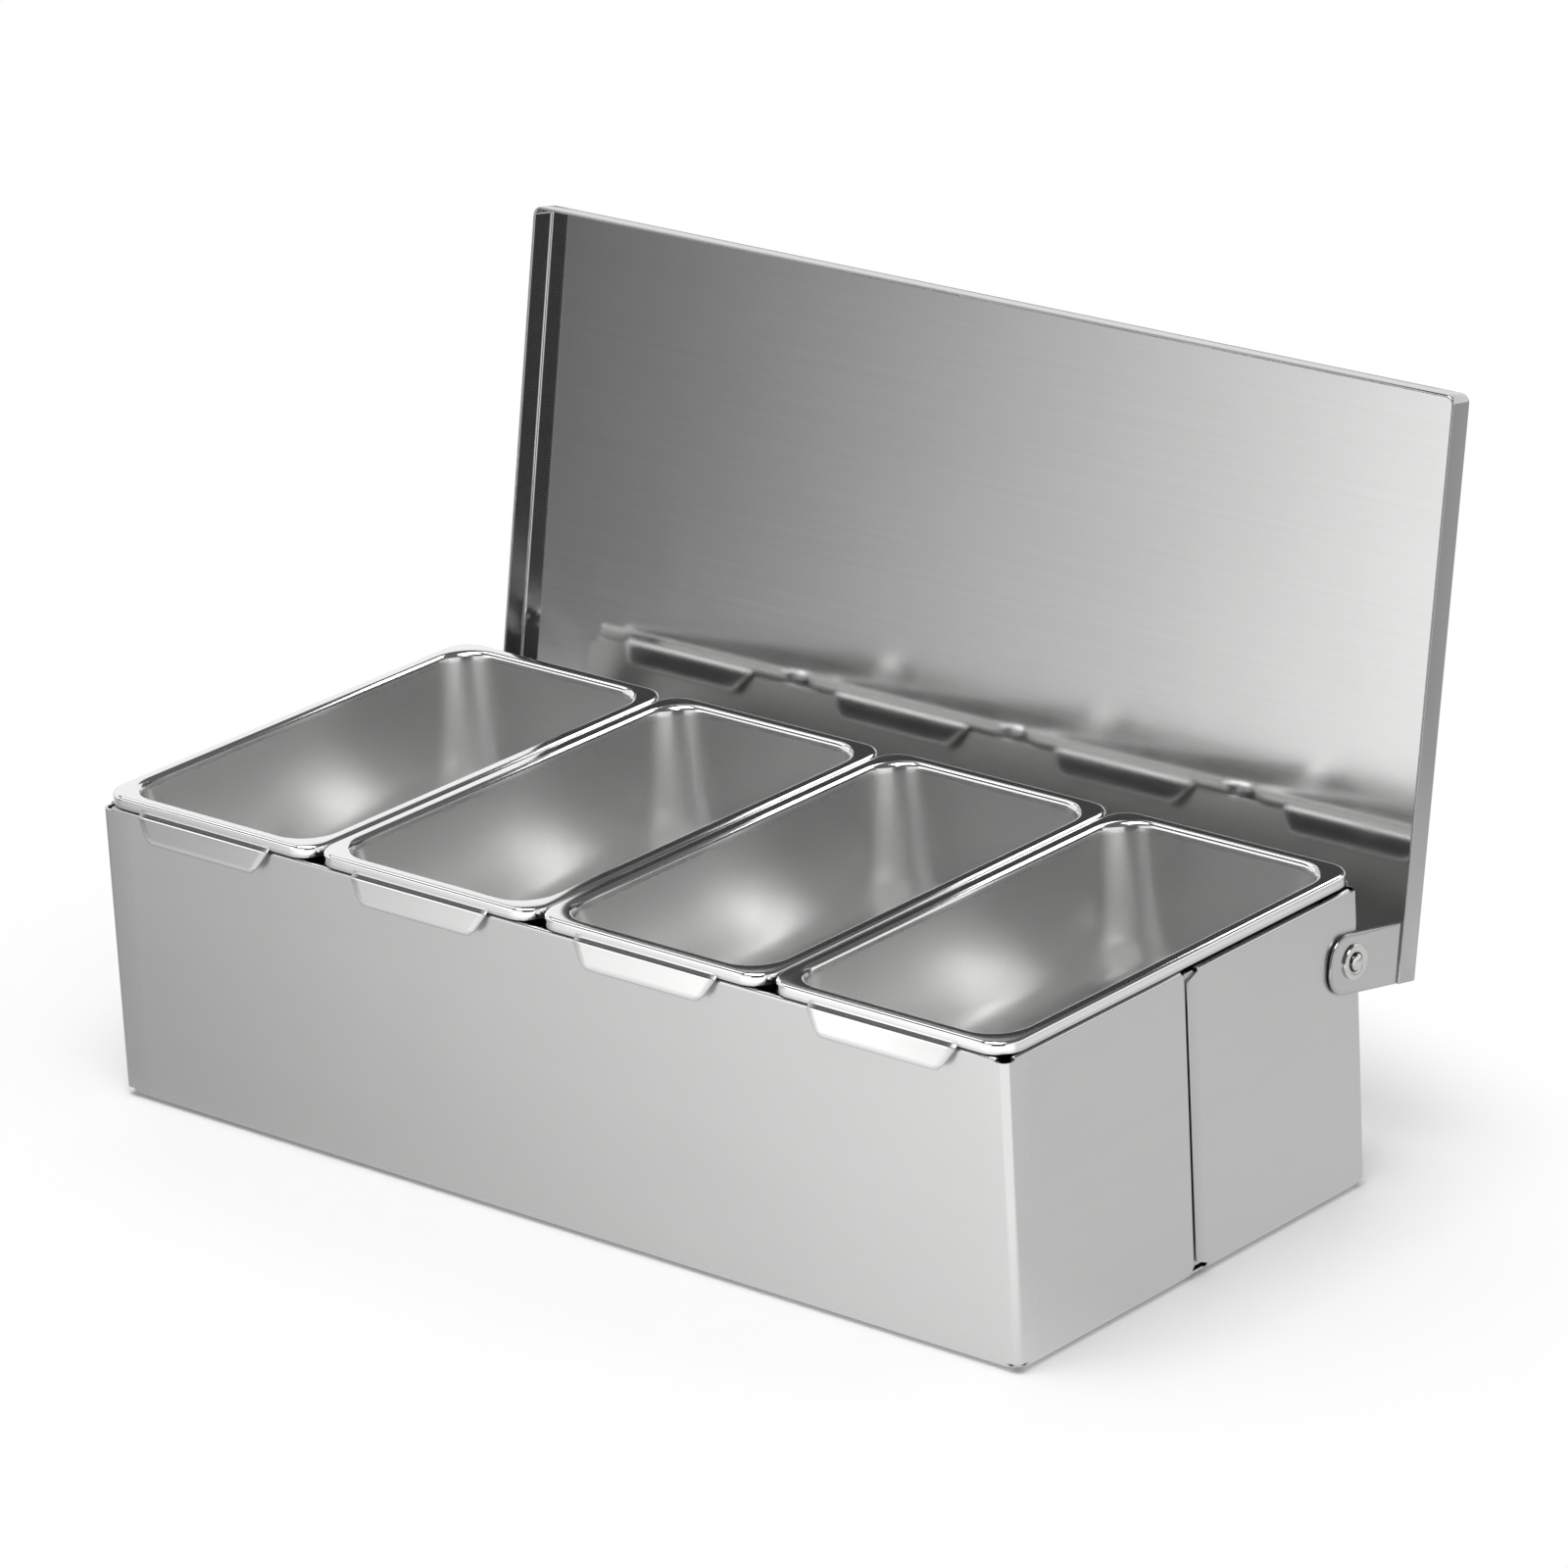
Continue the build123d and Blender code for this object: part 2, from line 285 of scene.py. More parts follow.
@dataclass(frozen=True)
class Sheet:
    """A bent sheet given by its middle surface on a grid.

    Attributes:
        middle: points of the middle surface, rows by columns by three.
        outward: unit directions to the outer side, of the same shape.
        run: distance of each point along the columns and down the rows, on the flat sheet.
        thickness: thickness of the metal.
        wear_and_painted_light: as in a patch, rows by columns. A free edge is given its own, as painted
            shade.
        free: sides of the grid that are free edges, which are rounded.
        joined: sides that lie on another part of the grid. A side that is neither gets a flat end.
        grain: place of each point where the brush lines follow another course than run, or None.
    """

    middle: np.ndarray
    outward: np.ndarray
    run: np.ndarray
    thickness: float
    wear_and_painted_light: np.ndarray
    free: frozenset[Side] = frozenset()
    joined: frozenset[Side] = frozenset()
    grain: np.ndarray | None = None

    def patch(self) -> Patch:
        """Give the sheet its thickness and close its sides.

        Each face stands half the thickness from the middle surface, times the rounding of every free edge.

        Returns:
            The sheet as a closed surface.
        """
        rows, columns = self.middle.shape[:2]
        count = rows * columns
        number = np.arange(count).reshape(rows, columns)
        along, down = self.run[..., 0], self.run[..., 1]
        sides = {
            Side.FIRST_ROW: (down - down[:1], number[0]),
            Side.LAST_ROW: (down[-1:] - down, number[-1, ::-1]),
            Side.FIRST_COLUMN: (along - along[:, :1], number[::-1, 0]),
            Side.LAST_COLUMN: (along[:, -1:] - along, number[:, -1]),
        }
        half = np.full((rows, columns), self.thickness / 2)
        wear_and_painted_light = self.wear_and_painted_light
        faces = [grid_quads(rows, columns, 0), grid_quads(rows, columns, count)[:, ::-1]]
        for side, (away, border) in sides.items():
            if side in self.free:
                half = half * edge_round(away, self.thickness / 2)
                # A free edge's colour darkens towards the edge, as painted shade
                cut = 1.0 - np.clip(away / (self.thickness * CUT_SHARE), 0.0, 1.0)
                wear_and_painted_light = np.where(cut > 0, -cut * CUT_PAINTED_SHADE, wear_and_painted_light)
            elif side not in self.joined:
                outer, inner = border, border + count
                faces.append(together(outer[1:], outer[:-1], inner[:-1], inner[1:]))
        lift = self.outward * half[..., None]
        points = np.concatenate([(self.middle + lift).reshape(-1, 3), (self.middle - lift).reshape(-1, 3)])
        flat = (self.run if self.grain is None else self.grain).reshape(-1, 2) * MM
        return Patch(points, np.concatenate(faces), np.tile(flat, (2, 1)), np.tile(wear_and_painted_light.ravel(), 2))


def sweep(section: Trace, path: Trace, thickness: float, free: frozenset[Side]) -> Sheet:
    """Carry an upright section along a level path.

    A point of the sheet is the path's point, plus the path's outward direction times the section's first
    value, with the section's second value as its height.

    Args:
        section: the section, as distance outward and height.
        path: the path, as X and Y.
        thickness: thickness of the metal.
        free: sides that are free edges.

    Returns:
        The swept sheet.
    """
    (x, y), (side_x, side_y) = path.points.T, path.outward.T
    reach, height = section.points[:, :1], section.points[:, 1:]
    level, rise = section.outward[:, :1], section.outward[:, 1:]
    middle = together(x + side_x * reach, y + side_y * reach, height)
    outward = together(side_x * level, side_y * level, rise)
    run = together(path.travelled, section.travelled[:, None])
    return Sheet(middle, outward, run, thickness, np.maximum(path.bent, section.bent[:, None]), free)


def closing(count: int, steps: int) -> tuple[np.ndarray, np.ndarray]:
    """Follow a stack of loops by copies of the last one that shrink evenly to its middle.

    Args:
        count: loops in the stack.
        steps: copies, of which the last has no size.

    Returns:
        The loop that each one takes after, and its size as a share of that one's.
    """
    pick = np.minimum(np.arange(count + steps), count - 1)
    return pick, np.concatenate([np.ones(count), np.linspace(1.0, 0.0, steps + 1)[1:]])


def new_object(name: str, data: ID) -> Object:
    """Make an object and link it to the scene.

    Args:
        name: name of the object.
        data: the mesh, lamp or camera that it shows.

    Returns:
        The object.
    """
    made = bpy.data.objects.new(name, data)
    bpy.context.scene.collection.objects.link(made)
    return made


def build_piece(name: str, patches: list[Patch], material: Material) -> Object:
    """Put patches into one mesh object at the origin, in metres.

    Args:
        name: name of the piece.
        patches: the closed surfaces that make it.
        material: its finish.

    Returns:
        The new object, linked to the scene.
    """
    points, corners, totals, runs, wear_and_painted_light_parts, offset = [], [], [], [], [], 0
    for patch in patches:
        place, (faces, run_of), keep, source = patch.welded()
        whole = keep.sum(axis=1) >= 3
        faces, run_of, keep = faces[whole], run_of[whole], keep[whole]
        points.append(place * MM)
        corners.append(faces[keep] + offset)
        totals.append(keep.sum(axis=1))
        runs.append(patch.run[run_of[keep]])
        wear_and_painted_light_parts.append(patch.wear_and_painted_light[source])
        offset += len(place)
    total = np.concatenate(totals)
    start = np.concatenate([[0], np.cumsum(total)[:-1]])
    mesh = bpy.data.meshes.new(name)
    mesh.vertices.add(offset)
    mesh.vertices.foreach_set("co", np.concatenate(points).astype(np.float32).ravel())
    mesh.loops.add(int(total.sum()))
    mesh.loops.foreach_set("vertex_index", np.concatenate(corners).astype(np.int32))
    mesh.polygons.add(len(total))
    mesh.polygons.foreach_set("loop_start", start.astype(np.int32))
    mesh.polygons.foreach_set("loop_total", total.astype(np.int32))
    layer = mesh.uv_layers.new(name="sheet_run")
    layer.data.foreach_set("uv", np.concatenate(runs).astype(np.float32).ravel())
    wear_and_light_layer = mesh.attributes.new("edge_wear_and_painted_light", "FLOAT", "POINT")
    wear_and_light_layer.data.foreach_set("value", np.concatenate(wear_and_painted_light_parts).astype(np.float32))
    mesh.update(calc_edges=True)
    mesh.validate()
    mesh.shade_smooth()
    mesh.set_sharp_from_angle(angle=SHARP_ANGLE)
    mesh.materials.append(material)
    return new_object(name, mesh)


def dress(piece: Object, body: str, slot: Slot, *nodes: str) -> None:
    """Let a piece ride on a body and stand for CAD nodes, and report it.

    Args:
        piece: the piece.
        body: name of the body that carries it.
        slot: its material slot, not used.
        nodes: names of the CAD nodes that it replaces.
    """
    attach(piece, body)
    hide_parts(*nodes)
    LOG.info("%s: %d faces on %s", piece.name, len(piece.data.polygons), body)


def carry_over(node: str, material: Material) -> None:
    """Give a CAD node that stays in view its finish, and report it.

    Args:
        node: name of the CAD node.
        material: its finish.
    """
    piece = frame["nodes"][node]
    piece.data.materials.clear()
    piece.data.materials.append(material)
    LOG.info("%s: carried over, %d faces", node, len(piece.data.polygons))


class Sketch:
    """A node tree while it is being drawn."""

    def __init__(self, tree: NodeTree) -> None:
        """Keep the tree and empty it."""
        self.tree = tree
        tree.nodes.clear()

    def add(self, kind: str, inputs: dict[str | int, object] | None = None, **settings: object) -> Node:
        """Add a node, set it and fill its inputs.

        Args:
            kind: Blender's name for the node type.
            inputs: value or output socket for each input, by name or number.
            settings: properties of the node.

        Returns:
            The new node.
        """
        node = self.tree.nodes.new(kind)
        for key, value in settings.items():
            setattr(node, key, value)
        for key, value in (inputs or {}).items():
            if isinstance(value, NodeSocket):
                self.tree.links.new(value, node.inputs[key])
            else:
                node.inputs[key].default_value = value
        return node

    def math(self, operation: str, *values: object) -> NodeSocket:
        """Combine values or sockets by a math node and give its output."""
        return self.add("ShaderNodeMath", dict(enumerate(values)), operation=operation).outputs[0]

    def vector(self, operation: str, inputs: dict[str | int, object], result: str = "Vector") -> NodeSocket:
        """Combine vectors by a vector math node and give one of its outputs."""
        return self.add("ShaderNodeVectorMath", inputs, operation=operation).outputs[result]

    def noise(self, vector: NodeSocket, *settings: float) -> NodeSocket:
        """Sample noise at a vector by scale, detail, roughness and, where it curls, distortion."""
        inputs = dict(zip(("Scale", "Detail", "Roughness", "Distortion"), settings))
        return self.add("ShaderNodeTexNoise", {"Vector": vector, **inputs}).outputs["Fac"]

    def spread(self, value: NodeSocket, seen: Pair, to: Pair = (0.0, 1.0), **settings: object) -> NodeSocket:
        """Map the range of a value to another range, held at its ends."""
        inputs = dict(zip(("Value", "From Min", "From Max", "To Min", "To Max"), (value, *seen, *to)))
        return self.add("ShaderNodeMapRange", inputs, **settings).outputs["Result"]

    def glow(self, strength: float | NodeSocket) -> NodeSocket:
        """Add a white emission and give its shader."""
        return self.add("ShaderNodeEmission", {"Color": WHITE, "Strength": strength}).outputs[0]

    def mixed(self, share: NodeSocket, first: NodeSocket, second: NodeSocket) -> NodeSocket:
        """Mix two shaders by the share of the second and give the result."""
        return self.add("ShaderNodeMixShader", {0: share, 1: first, 2: second}).outputs[0]

    def surface(self, shader: NodeSocket) -> None:
        """Send a shader to the material's output."""
        self.add("ShaderNodeOutputMaterial", {"Surface": shader})


def new_material(name: str) -> tuple[Material, Sketch]:
    """Start a material.

    Args:
        name: name of the material.

    Returns:
        The material and a sketch of its nodes.
    """
    made = bpy.data.materials.new(name)
    made.use_nodes = True
    return made, Sketch(made.node_tree)


def new_group(name: str, inputs: dict[str, str], outputs: tuple[str, ...]) -> tuple[Sketch, Node, Node]:
    """Start a shader node group with named sockets.

    Args:
        name: name of the group.
        inputs: socket type of each input.
        outputs: names of the outputs, which are numbers.

    Returns:
        The group's sketch, its input node and its output node.
    """
    tree = bpy.data.node_groups.new(name, "ShaderNodeTree")
    for label, kind in inputs.items():
        tree.interface.new_socket(name=label, in_out="INPUT", socket_type=kind)
    for label in outputs:
        tree.interface.new_socket(name=label, in_out="OUTPUT", socket_type="NodeSocketFloat")
    sketch = Sketch(tree)
    return sketch, sketch.add("NodeGroupInput"), sketch.add("NodeGroupOutput")


# A streak is this much wider and this much longer than a hairline
STREAK_WIDENING, STREAK_LENGTHENING = 9.0, 3.0
# Scale, detail and roughness of each mark's noise, with how far wipe marks curl
HAIRLINE_NOISE, STREAK_NOISE, CLOUD_NOISE = (1.0, 2.0, 0.6), (1.0, 3.0, 0.55), (22.0, 2.0, 0.5)
WIPE_NOISE, SMUDGE_NOISE = (26.0, 2.0, 0.5, 1.2), (9.0, 1.0, 0.5)
# The noise values between which a mark rises from nothing to full
GRAIN_RANGE, WIPE_RANGE, SMUDGE_RANGE = (0.3, 0.7), (0.45, 0.85), (0.4, 0.7)
# The value of a mark that leaves the metal plain
MARK_MIDDLE = 0.5
# Strength of the hairlines' relief, and the share of a full turn from the grain to the drawn out highlights
RELIEF_STRENGTH, GRAIN_TURN = 0.5, 0.25


def brushed_grain_group() -> NodeTree:
    """Draw the group for brush lines: fine hairlines, wider streaks and slow clouds along the sheet.

    The place on the sheet is stretched, so that noise changes slowly along the grain and quickly across it.

    Returns:
        The group, with Hairline, Streak and Cloud between 0 and 1.
    """
    number = "NodeSocketFloat"
    inputs = {"Place": "NodeSocketVector", "Line Length": number, "Line Width": number}
    sketch, given, result = new_group("brushed_grain", inputs, ("Hairline", "Streak", "Cloud"))
    place, length, width = (given.outputs[label] for label in inputs)
    split = sketch.add("ShaderNodeSeparateXYZ", {0: place}).outputs

    def stretched(widen: float, lengthen: float) -> NodeSocket:
        """Divide the place by the line length and width, each times its factor.

        Args:
            widen: factor of the width.
            lengthen: factor of the length.

        Returns:
            The stretched place.
        """
        wide = sketch.math("MULTIPLY", width, widen)
        sizes = (sketch.math("MULTIPLY", length, lengthen), wide, wide)
        shares = {n: sketch.math("DIVIDE", split[n], size) for n, size in enumerate(sizes)}
        return sketch.add("ShaderNodeCombineXYZ", shares).outputs[0]

    marks = {
        "Hairline": sketch.noise(stretched(1.0, 1.0), *HAIRLINE_NOISE),
        "Streak": sketch.noise(stretched(STREAK_WIDENING, STREAK_LENGTHENING), *STREAK_NOISE),
        "Cloud": sketch.noise(place, *CLOUD_NOISE),
    }
    for label, mark in marks.items():
        sketch.tree.links.new(sketch.spread(mark, GRAIN_RANGE), result.inputs[label])
    return sketch.tree


def handling_marks_group() -> NodeTree:
    """Draw the group for use: faint wipe marks and smudges.

    Wipe marks are noise above a level, bent by a slower noise so that they curl.

    Returns:
        The group, with Wipe and Smudge between 0 and 1.
    """
    sketch, given, result = new_group("handling_marks", {"Place": "NodeSocketVector"}, ("Wipe", "Smudge"))
    for label, noise, seen in (("Wipe", WIPE_NOISE, WIPE_RANGE), ("Smudge", SMUDGE_NOISE, SMUDGE_RANGE)):
        mark = sketch.spread(sketch.noise(given.outputs["Place"], *noise), seen)
        sketch.tree.links.new(mark, result.inputs[label])
    return sketch.tree


@dataclass(frozen=True)
class SteelFinish:
    """A stainless steel surface.

    Attributes:
        name: name of the material.
        colour: reflected colour, linear.
        roughness: roughness of the plain metal.
        line_length: length of a brush line, in metres.
        line_width: width of a brush line, in metres.
        grain_depth: height of the brush lines, in metres.
        streak_share: how much roughness changes in streaks.
        cloud_share: how much roughness changes in clouds.
        tone_share: how much the colour changes, as a share of the change of roughness.
        lengthening: how far highlights are drawn out across the grain, from 0 to 1.
        on_sheet: whether the grain follows the sheet's own run, or else the object.
        edge_roughness: roughness where bends and edges are rubbed smooth.
        painted_shade_tone: how far the colour darkens where shade is painted, in seam crevices, grooves and
            along cut edges.
        painted_highlight_tone: how far the colour rises where the metal is rubbed smooth, as a painted
            highlight.
        wipe_roughness: how far the roughness changes in wipe marks.
        smudge_tone: how far the colour changes in smudges.
    """

    name: str
    colour: Triple
    roughness: float
    line_length: float = 0.012
    line_width: float = 0.00016
    grain_depth: float = 0.000004
    streak_share: float = 0.25
    cloud_share: float = 0.2
    tone_share: float = 0.24
    lengthening: float = 0.0
    on_sheet: bool = True
    edge_roughness: float = 0.12
    painted_shade_tone: float = -0.8
    painted_highlight_tone: float = 0.0
    wipe_roughness: float = 0.04
    smudge_tone: float = -0.02

    def material(self, grain: NodeTree, marks: NodeTree) -> Material:
        """Make the material from the shared groups.

        Args:
            grain: the brushed grain group.
            marks: the handling marks group.

        Returns:
            The material.
        """
        made, sketch = new_material(self.name)
        spot = sketch.add("ShaderNodeTexCoord").outputs["Object"]
        place = sketch.add("ShaderNodeUVMap", uv_map="sheet_run").outputs[0] if self.on_sheet else spot
        sizes = {"Place": place, "Line Length": self.line_length, "Line Width": self.line_width}
        lines = sketch.add("ShaderNodeGroup", sizes, node_tree=grain).outputs
        used = sketch.add("ShaderNodeGroup", {"Place": spot}, node_tree=marks).outputs
        # edge_wear_and_painted_light above 0 makes bends and edges smoother and raises the colour by
        # painted_highlight_tone, a painted highlight; below 0 it darkens the colour by painted_shade_tone,
        # painted shade
        wear_and_painted_light = sketch.add("ShaderNodeAttribute", attribute_name="edge_wear_and_painted_light").outputs["Fac"]
        worn_and_highlit = sketch.math("MAXIMUM", wear_and_painted_light, 0.0)
        painted_shade = sketch.math("MAXIMUM", sketch.math("MULTIPLY", wear_and_painted_light, -1.0), 0.0)
        streak, cloud = (
            sketch.math("MULTIPLY", sketch.math("SUBTRACT", lines[label], MARK_MIDDLE), share)
            for label, share in (("Streak", self.streak_share), ("Cloud", self.cloud_share))
        )
        uneven = sketch.math("ADD", streak, cloud)
        rough = sketch.math("MULTIPLY_ADD", uneven, self.roughness, self.roughness)
        rough = sketch.math("MULTIPLY_ADD", used["Wipe"], self.wipe_roughness, rough)
        smoother = sketch.math("SUBTRACT", self.edge_roughness, rough)
        rough = sketch.math("MULTIPLY_ADD", worn_and_highlit, smoother, rough)
        tone = sketch.math("MULTIPLY_ADD", uneven, self.tone_share, 1.0)
        # Smudges are real marks; the other two changes are painted shade and a painted highlight
        changes = ((used["Smudge"], self.smudge_tone), (painted_shade, self.painted_shade_tone), (worn_and_highlit, self.painted_highlight_tone))
        for mark, change in changes:
            tone = sketch.math("MULTIPLY_ADD", mark, change, tone)
        relief = {"Strength": RELIEF_STRENGTH, "Distance": self.grain_depth, "Height": lines["Hairline"]}
        inputs = {
            "Base Color": sketch.vector("SCALE", {0: self.colour, "Scale": tone}),
            "Metallic": 1.0,
            "Roughness": rough,
            "Normal": sketch.add("ShaderNodeBump", relief).outputs[0],
            "Anisotropic": self.lengthening,
            "Anisotropic Rotation": GRAIN_TURN,
        }
        if self.on_sheet and self.lengthening > 0:
            along = sketch.add("ShaderNodeTangent", direction_type="UV_MAP", uv_map="sheet_run")
            inputs["Tangent"] = along.outputs[0]
        sketch.surface(sketch.add("ShaderNodeBsdfPrincipled", inputs).outputs[0])
        return made


@dataclass(frozen=True)
class NylonFinish:
    """Plain moulded nylon, as on the friction washers, with a faint mottle."""

    name: str
    colour: Triple
    roughness: float
    mottle: Triple = (1200.0, 3.0, 0.6)
    mottle_roughness: float = 0.2
    mottle_tone: float = 0.1

    def material(self) -> Material:
        """Make the material. The mottle's tone goes evenly to both sides of the colour.

        Returns:
            The material.
        """
        made, sketch = new_material(self.name)
        mottle = sketch.noise(sketch.add("ShaderNodeTexCoord").outputs["Object"], *self.mottle)
        rough = sketch.math("MULTIPLY_ADD", mottle, self.mottle_roughness, self.roughness)
        tone = sketch.math("MULTIPLY_ADD", mottle, self.mottle_tone, 1.0 - self.mottle_tone / 2)
        inputs = {"Base Color": sketch.vector("SCALE", {0: self.colour, "Scale": tone}), "Roughness": rough}
        sketch.surface(sketch.add("ShaderNodeBsdfPrincipled", inputs).outputs[0])
        return made


@dataclass(frozen=True)
class Finishes:
    """The materials of the tray, one for each slot and one for the plain base plate."""

    case: Material
    case_flat: Material
    lid: Material
    pan: Material
    rivet: Material
    washer: Material

    @classmethod
    def make(cls) -> "Finishes":
        """Draw the shared groups once and make every finish from them.

        Returns:
            The finishes.
        """
        grain, marks = brushed_grain_group(), handling_marks_group()
        steels = (
            SteelFinish(
                "case_brushed_steel", (0.66, 0.66, 0.655), 0.3, line_length=0.12, line_width=0.0008,
                grain_depth=0.0000004, streak_share=0.08, cloud_share=0.05, tone_share=0.2, lengthening=0.5,
            ),
            SteelFinish("base_brushed_steel", (0.64, 0.64, 0.635), 0.3, on_sheet=False),
            SteelFinish(
                "lid_brushed_steel", (0.58, 0.58, 0.576), 0.09, line_length=0.03, grain_depth=0.0000006,
                streak_share=0.15, cloud_share=0.1, tone_share=0.2, lengthening=0.3, edge_roughness=0.07,
            ),
            # The pan's rim and tabs get a painted highlight in their colour
            SteelFinish(
                "pan_satin_steel", (0.66, 0.66, 0.655), 0.31, line_length=0.004, grain_depth=0.0,
                streak_share=0.1, cloud_share=0.1, on_sheet=False, edge_roughness=0.1, painted_highlight_tone=0.3,
            ),
            SteelFinish(
                "rivet_smooth_steel", (0.7, 0.7, 0.69), 0.16, line_length=0.002, grain_depth=0.000001,
                on_sheet=False,
            ),
        )
        washer = NylonFinish("washer_moulded_nylon", (0.78, 0.78, 0.75), 0.45)
        return cls(*(steel.material(grain, marks) for steel in steels), washer.material())


# A buckled sheet's waves start this share of a wave on, and those down it are this high beside those along it
WAVE_SHIFT, DOWN_WAVE_SHARE = 0.13, 0.6


def buckled(sheet: Sheet, depth: float, waves: Pair) -> Sheet:
    """Give a flat stretch of sheet the slight waves that bending leaves.

    The push outward is the depth times two sines of the run, times a rise from the edges that is the sine of
    the share of the way across each direction, squared.

    Args:
        sheet: the sheet to wave, which is 0 in wear where it is flat.
        depth: greatest push.
        waves: number of waves along and down the sheet.

    Returns:
        The waved sheet.
    """
    u, v = ((run - run.min()) / np.ptp(run) for run in (sheet.run[..., 0], sheet.run[..., 1]))
    calm = (np.sin(math.pi * u) * np.sin(math.pi * v)) ** 2
    wave = np.sin(2 * math.pi * (waves[0] * u + WAVE_SHIFT))
    wave += DOWN_WAVE_SHARE * np.sin(2 * math.pi * (waves[1] * v + waves[0] * u / 2))
    push = depth * calm * wave * (1.0 - sheet.wear_and_painted_light)
    return replace(sheet, middle=sheet.middle + sheet.outward * push[..., None])


@dataclass(frozen=True)
class Case:
    """The case: two wraps of bent sheet round a base plate."""

    half_width: float
    half_depth: float
    wall_top: float
    sheet: float
    corner_radius: float = 2.2
    bottom_bend_radius: float = 1.8
    bottom_flange: float = 9.0
    hem_gap: float = 0.3
    hem_return: float = 5.0
    hem_relief: float = 1.2
    seam_relief: float = 0.3
    rear_wing_drop: float = 0.8
    seam_y: float = 0.0
    joggle_length: float = 1.6
    seam_lap: float = 12.0
    lap_margin: float = 8.0
    lap_neck: float = 3.6
    lap_neck_margin: float = 0.4
    seam_corner_radius: float = 3.0
    buckle_depth: float = 0.05
    buckle_waves: Pair = (3.0, 1.0)
    corner_steps: int = 10
    wall_spacing: float = 5.0
    rear_spacing: float = 4.0
    tongue_spacing: float = 0.3

    @classmethod
    def from_frame(cls) -> "Case":
        """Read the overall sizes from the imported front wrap."""
        low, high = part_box("front_wrap")
        return cls(high.x / MM, -low.y / MM, high.z / MM, low.z / MM)

    @property
    def edge(self) -> float:
        """Half the thickness of the sheet, which is also the radius of a free edge."""
        return self.sheet / 2

    @property
    def wall_x(self) -> float:
        """Distance of a side wall's middle from the centre."""
        return self.half_width - self.edge

    @property
    def wall_y(self) -> float:
        """Distance of the front or rear wall's middle from the centre."""
        return self.half_depth - self.edge

    @property
    def corner_bend(self) -> float:
        """Radius of an upright corner at the middle of the sheet."""
        return self.corner_radius - self.edge

    @property
    def bottom_bend(self) -> float:
        """Radius of the bottom bend at the middle of the sheet."""
        return self.bottom_bend_radius - self.edge

    @property
    def hem_radius(self) -> float:
        """Radius of the folded hem at the middle of the sheet."""
        return (self.sheet + self.hem_gap) / 2

    @property
    def flange_level(self) -> float:
        """Height of the middle of the turned-in bottom flange."""
        return self.sheet * 1.5

    @property
    def upright_bottom(self) -> float:
        """Height where the bottom bend ends."""
        return self.flange_level + self.bottom_bend_radius - self.edge

    @property
    def upright_top(self) -> float:
        """Height where the folded hem of the front wrap starts."""
        return self.wall_top - self.edge - self.hem_radius

    @property
    def long_reach(self) -> float:
        """How far flange and hem of the front or rear wall run to each side."""
        return self.half_width - self.corner_radius - self.hem_relief

    @property
    def side_reach(self) -> float:
        """How far flange and hem of a side wall run to the front or the back."""
        return self.half_depth - self.corner_radius - self.hem_relief

    def trims(self, start: Pair, end: Pair, bottom: float, top: float) -> list[Patch]:
        """Make the bottom flange and the folded hem along one straight stretch of wall.

        Args:
            start: start of the stretch, from above.
            end: its end.
            bottom: height where the hem leaves the upright.
            top: height of the hem's top.

        Returns:
            The flange and the hem.
        """
        path = trace_line([start, end], [], soft_start=self.edge, soft_end=self.edge)
        level, r, crown = self.flange_level, self.hem_radius, top - self.edge
        corners = [(-(self.bottom_flange - self.edge), level), (0.0, level), (0.0, self.upright_bottom)]
        flange = trace_line(corners, [self.bottom_bend], soft_start=self.edge)
        corners = [(0.0, bottom), (0.0, crown), (-2 * r, crown), (-2 * r, crown - r - self.hem_return)]
        hem = trace_line(corners, [r, r], soft_end=self.edge)
        return [
            sweep(flange, path, self.sheet, BOTH_ENDS | {Side.FIRST_ROW}).patch(),
            sweep(hem, path, self.sheet, BOTH_ENDS | {Side.LAST_ROW}).patch(),
        ]

    def upright(self, path: Trace, top: float, free: frozenset[Side]) -> Sheet:
        """Raise the plain upright part of a wall along a path."""
        section = trace_line([(0.0, self.upright_bottom), (0.0, top)], [], spacing=self.wall_spacing)
        return sweep(section, path, self.sheet, free)

    def front_patches(self) -> list[Patch]:
        """Make the front wall with its two wings, flanges, hems and the joggled tongues behind the seams.

        Returns:
            The patches of the front wrap.
        """
        start = self.seam_y - self.joggle_length
        x, y, front, side = self.wall_x, self.wall_y, self.long_reach, self.side_reach
        around = [(-x, start), (-x, -y), (x, -y), (x, start)]
        path = trace_line(around, [self.corner_bend] * 2, bend_steps=self.corner_steps)
        wall = self.upright(path, self.upright_top, frozenset())
        patches = [buckled(wall, self.buckle_depth, self.buckle_waves).patch()]
        wing_end = start - self.seam_relief
        stretches = [((-front, -y), (front, -y)), ((-x, wing_end), (-x, -side)), ((x, -side), (x, wing_end))]
        for near, far in stretches:
            patches += self.trims(near, far, self.upright_top, self.wall_top)
        return patches + [self.tongue(end) for end in End]

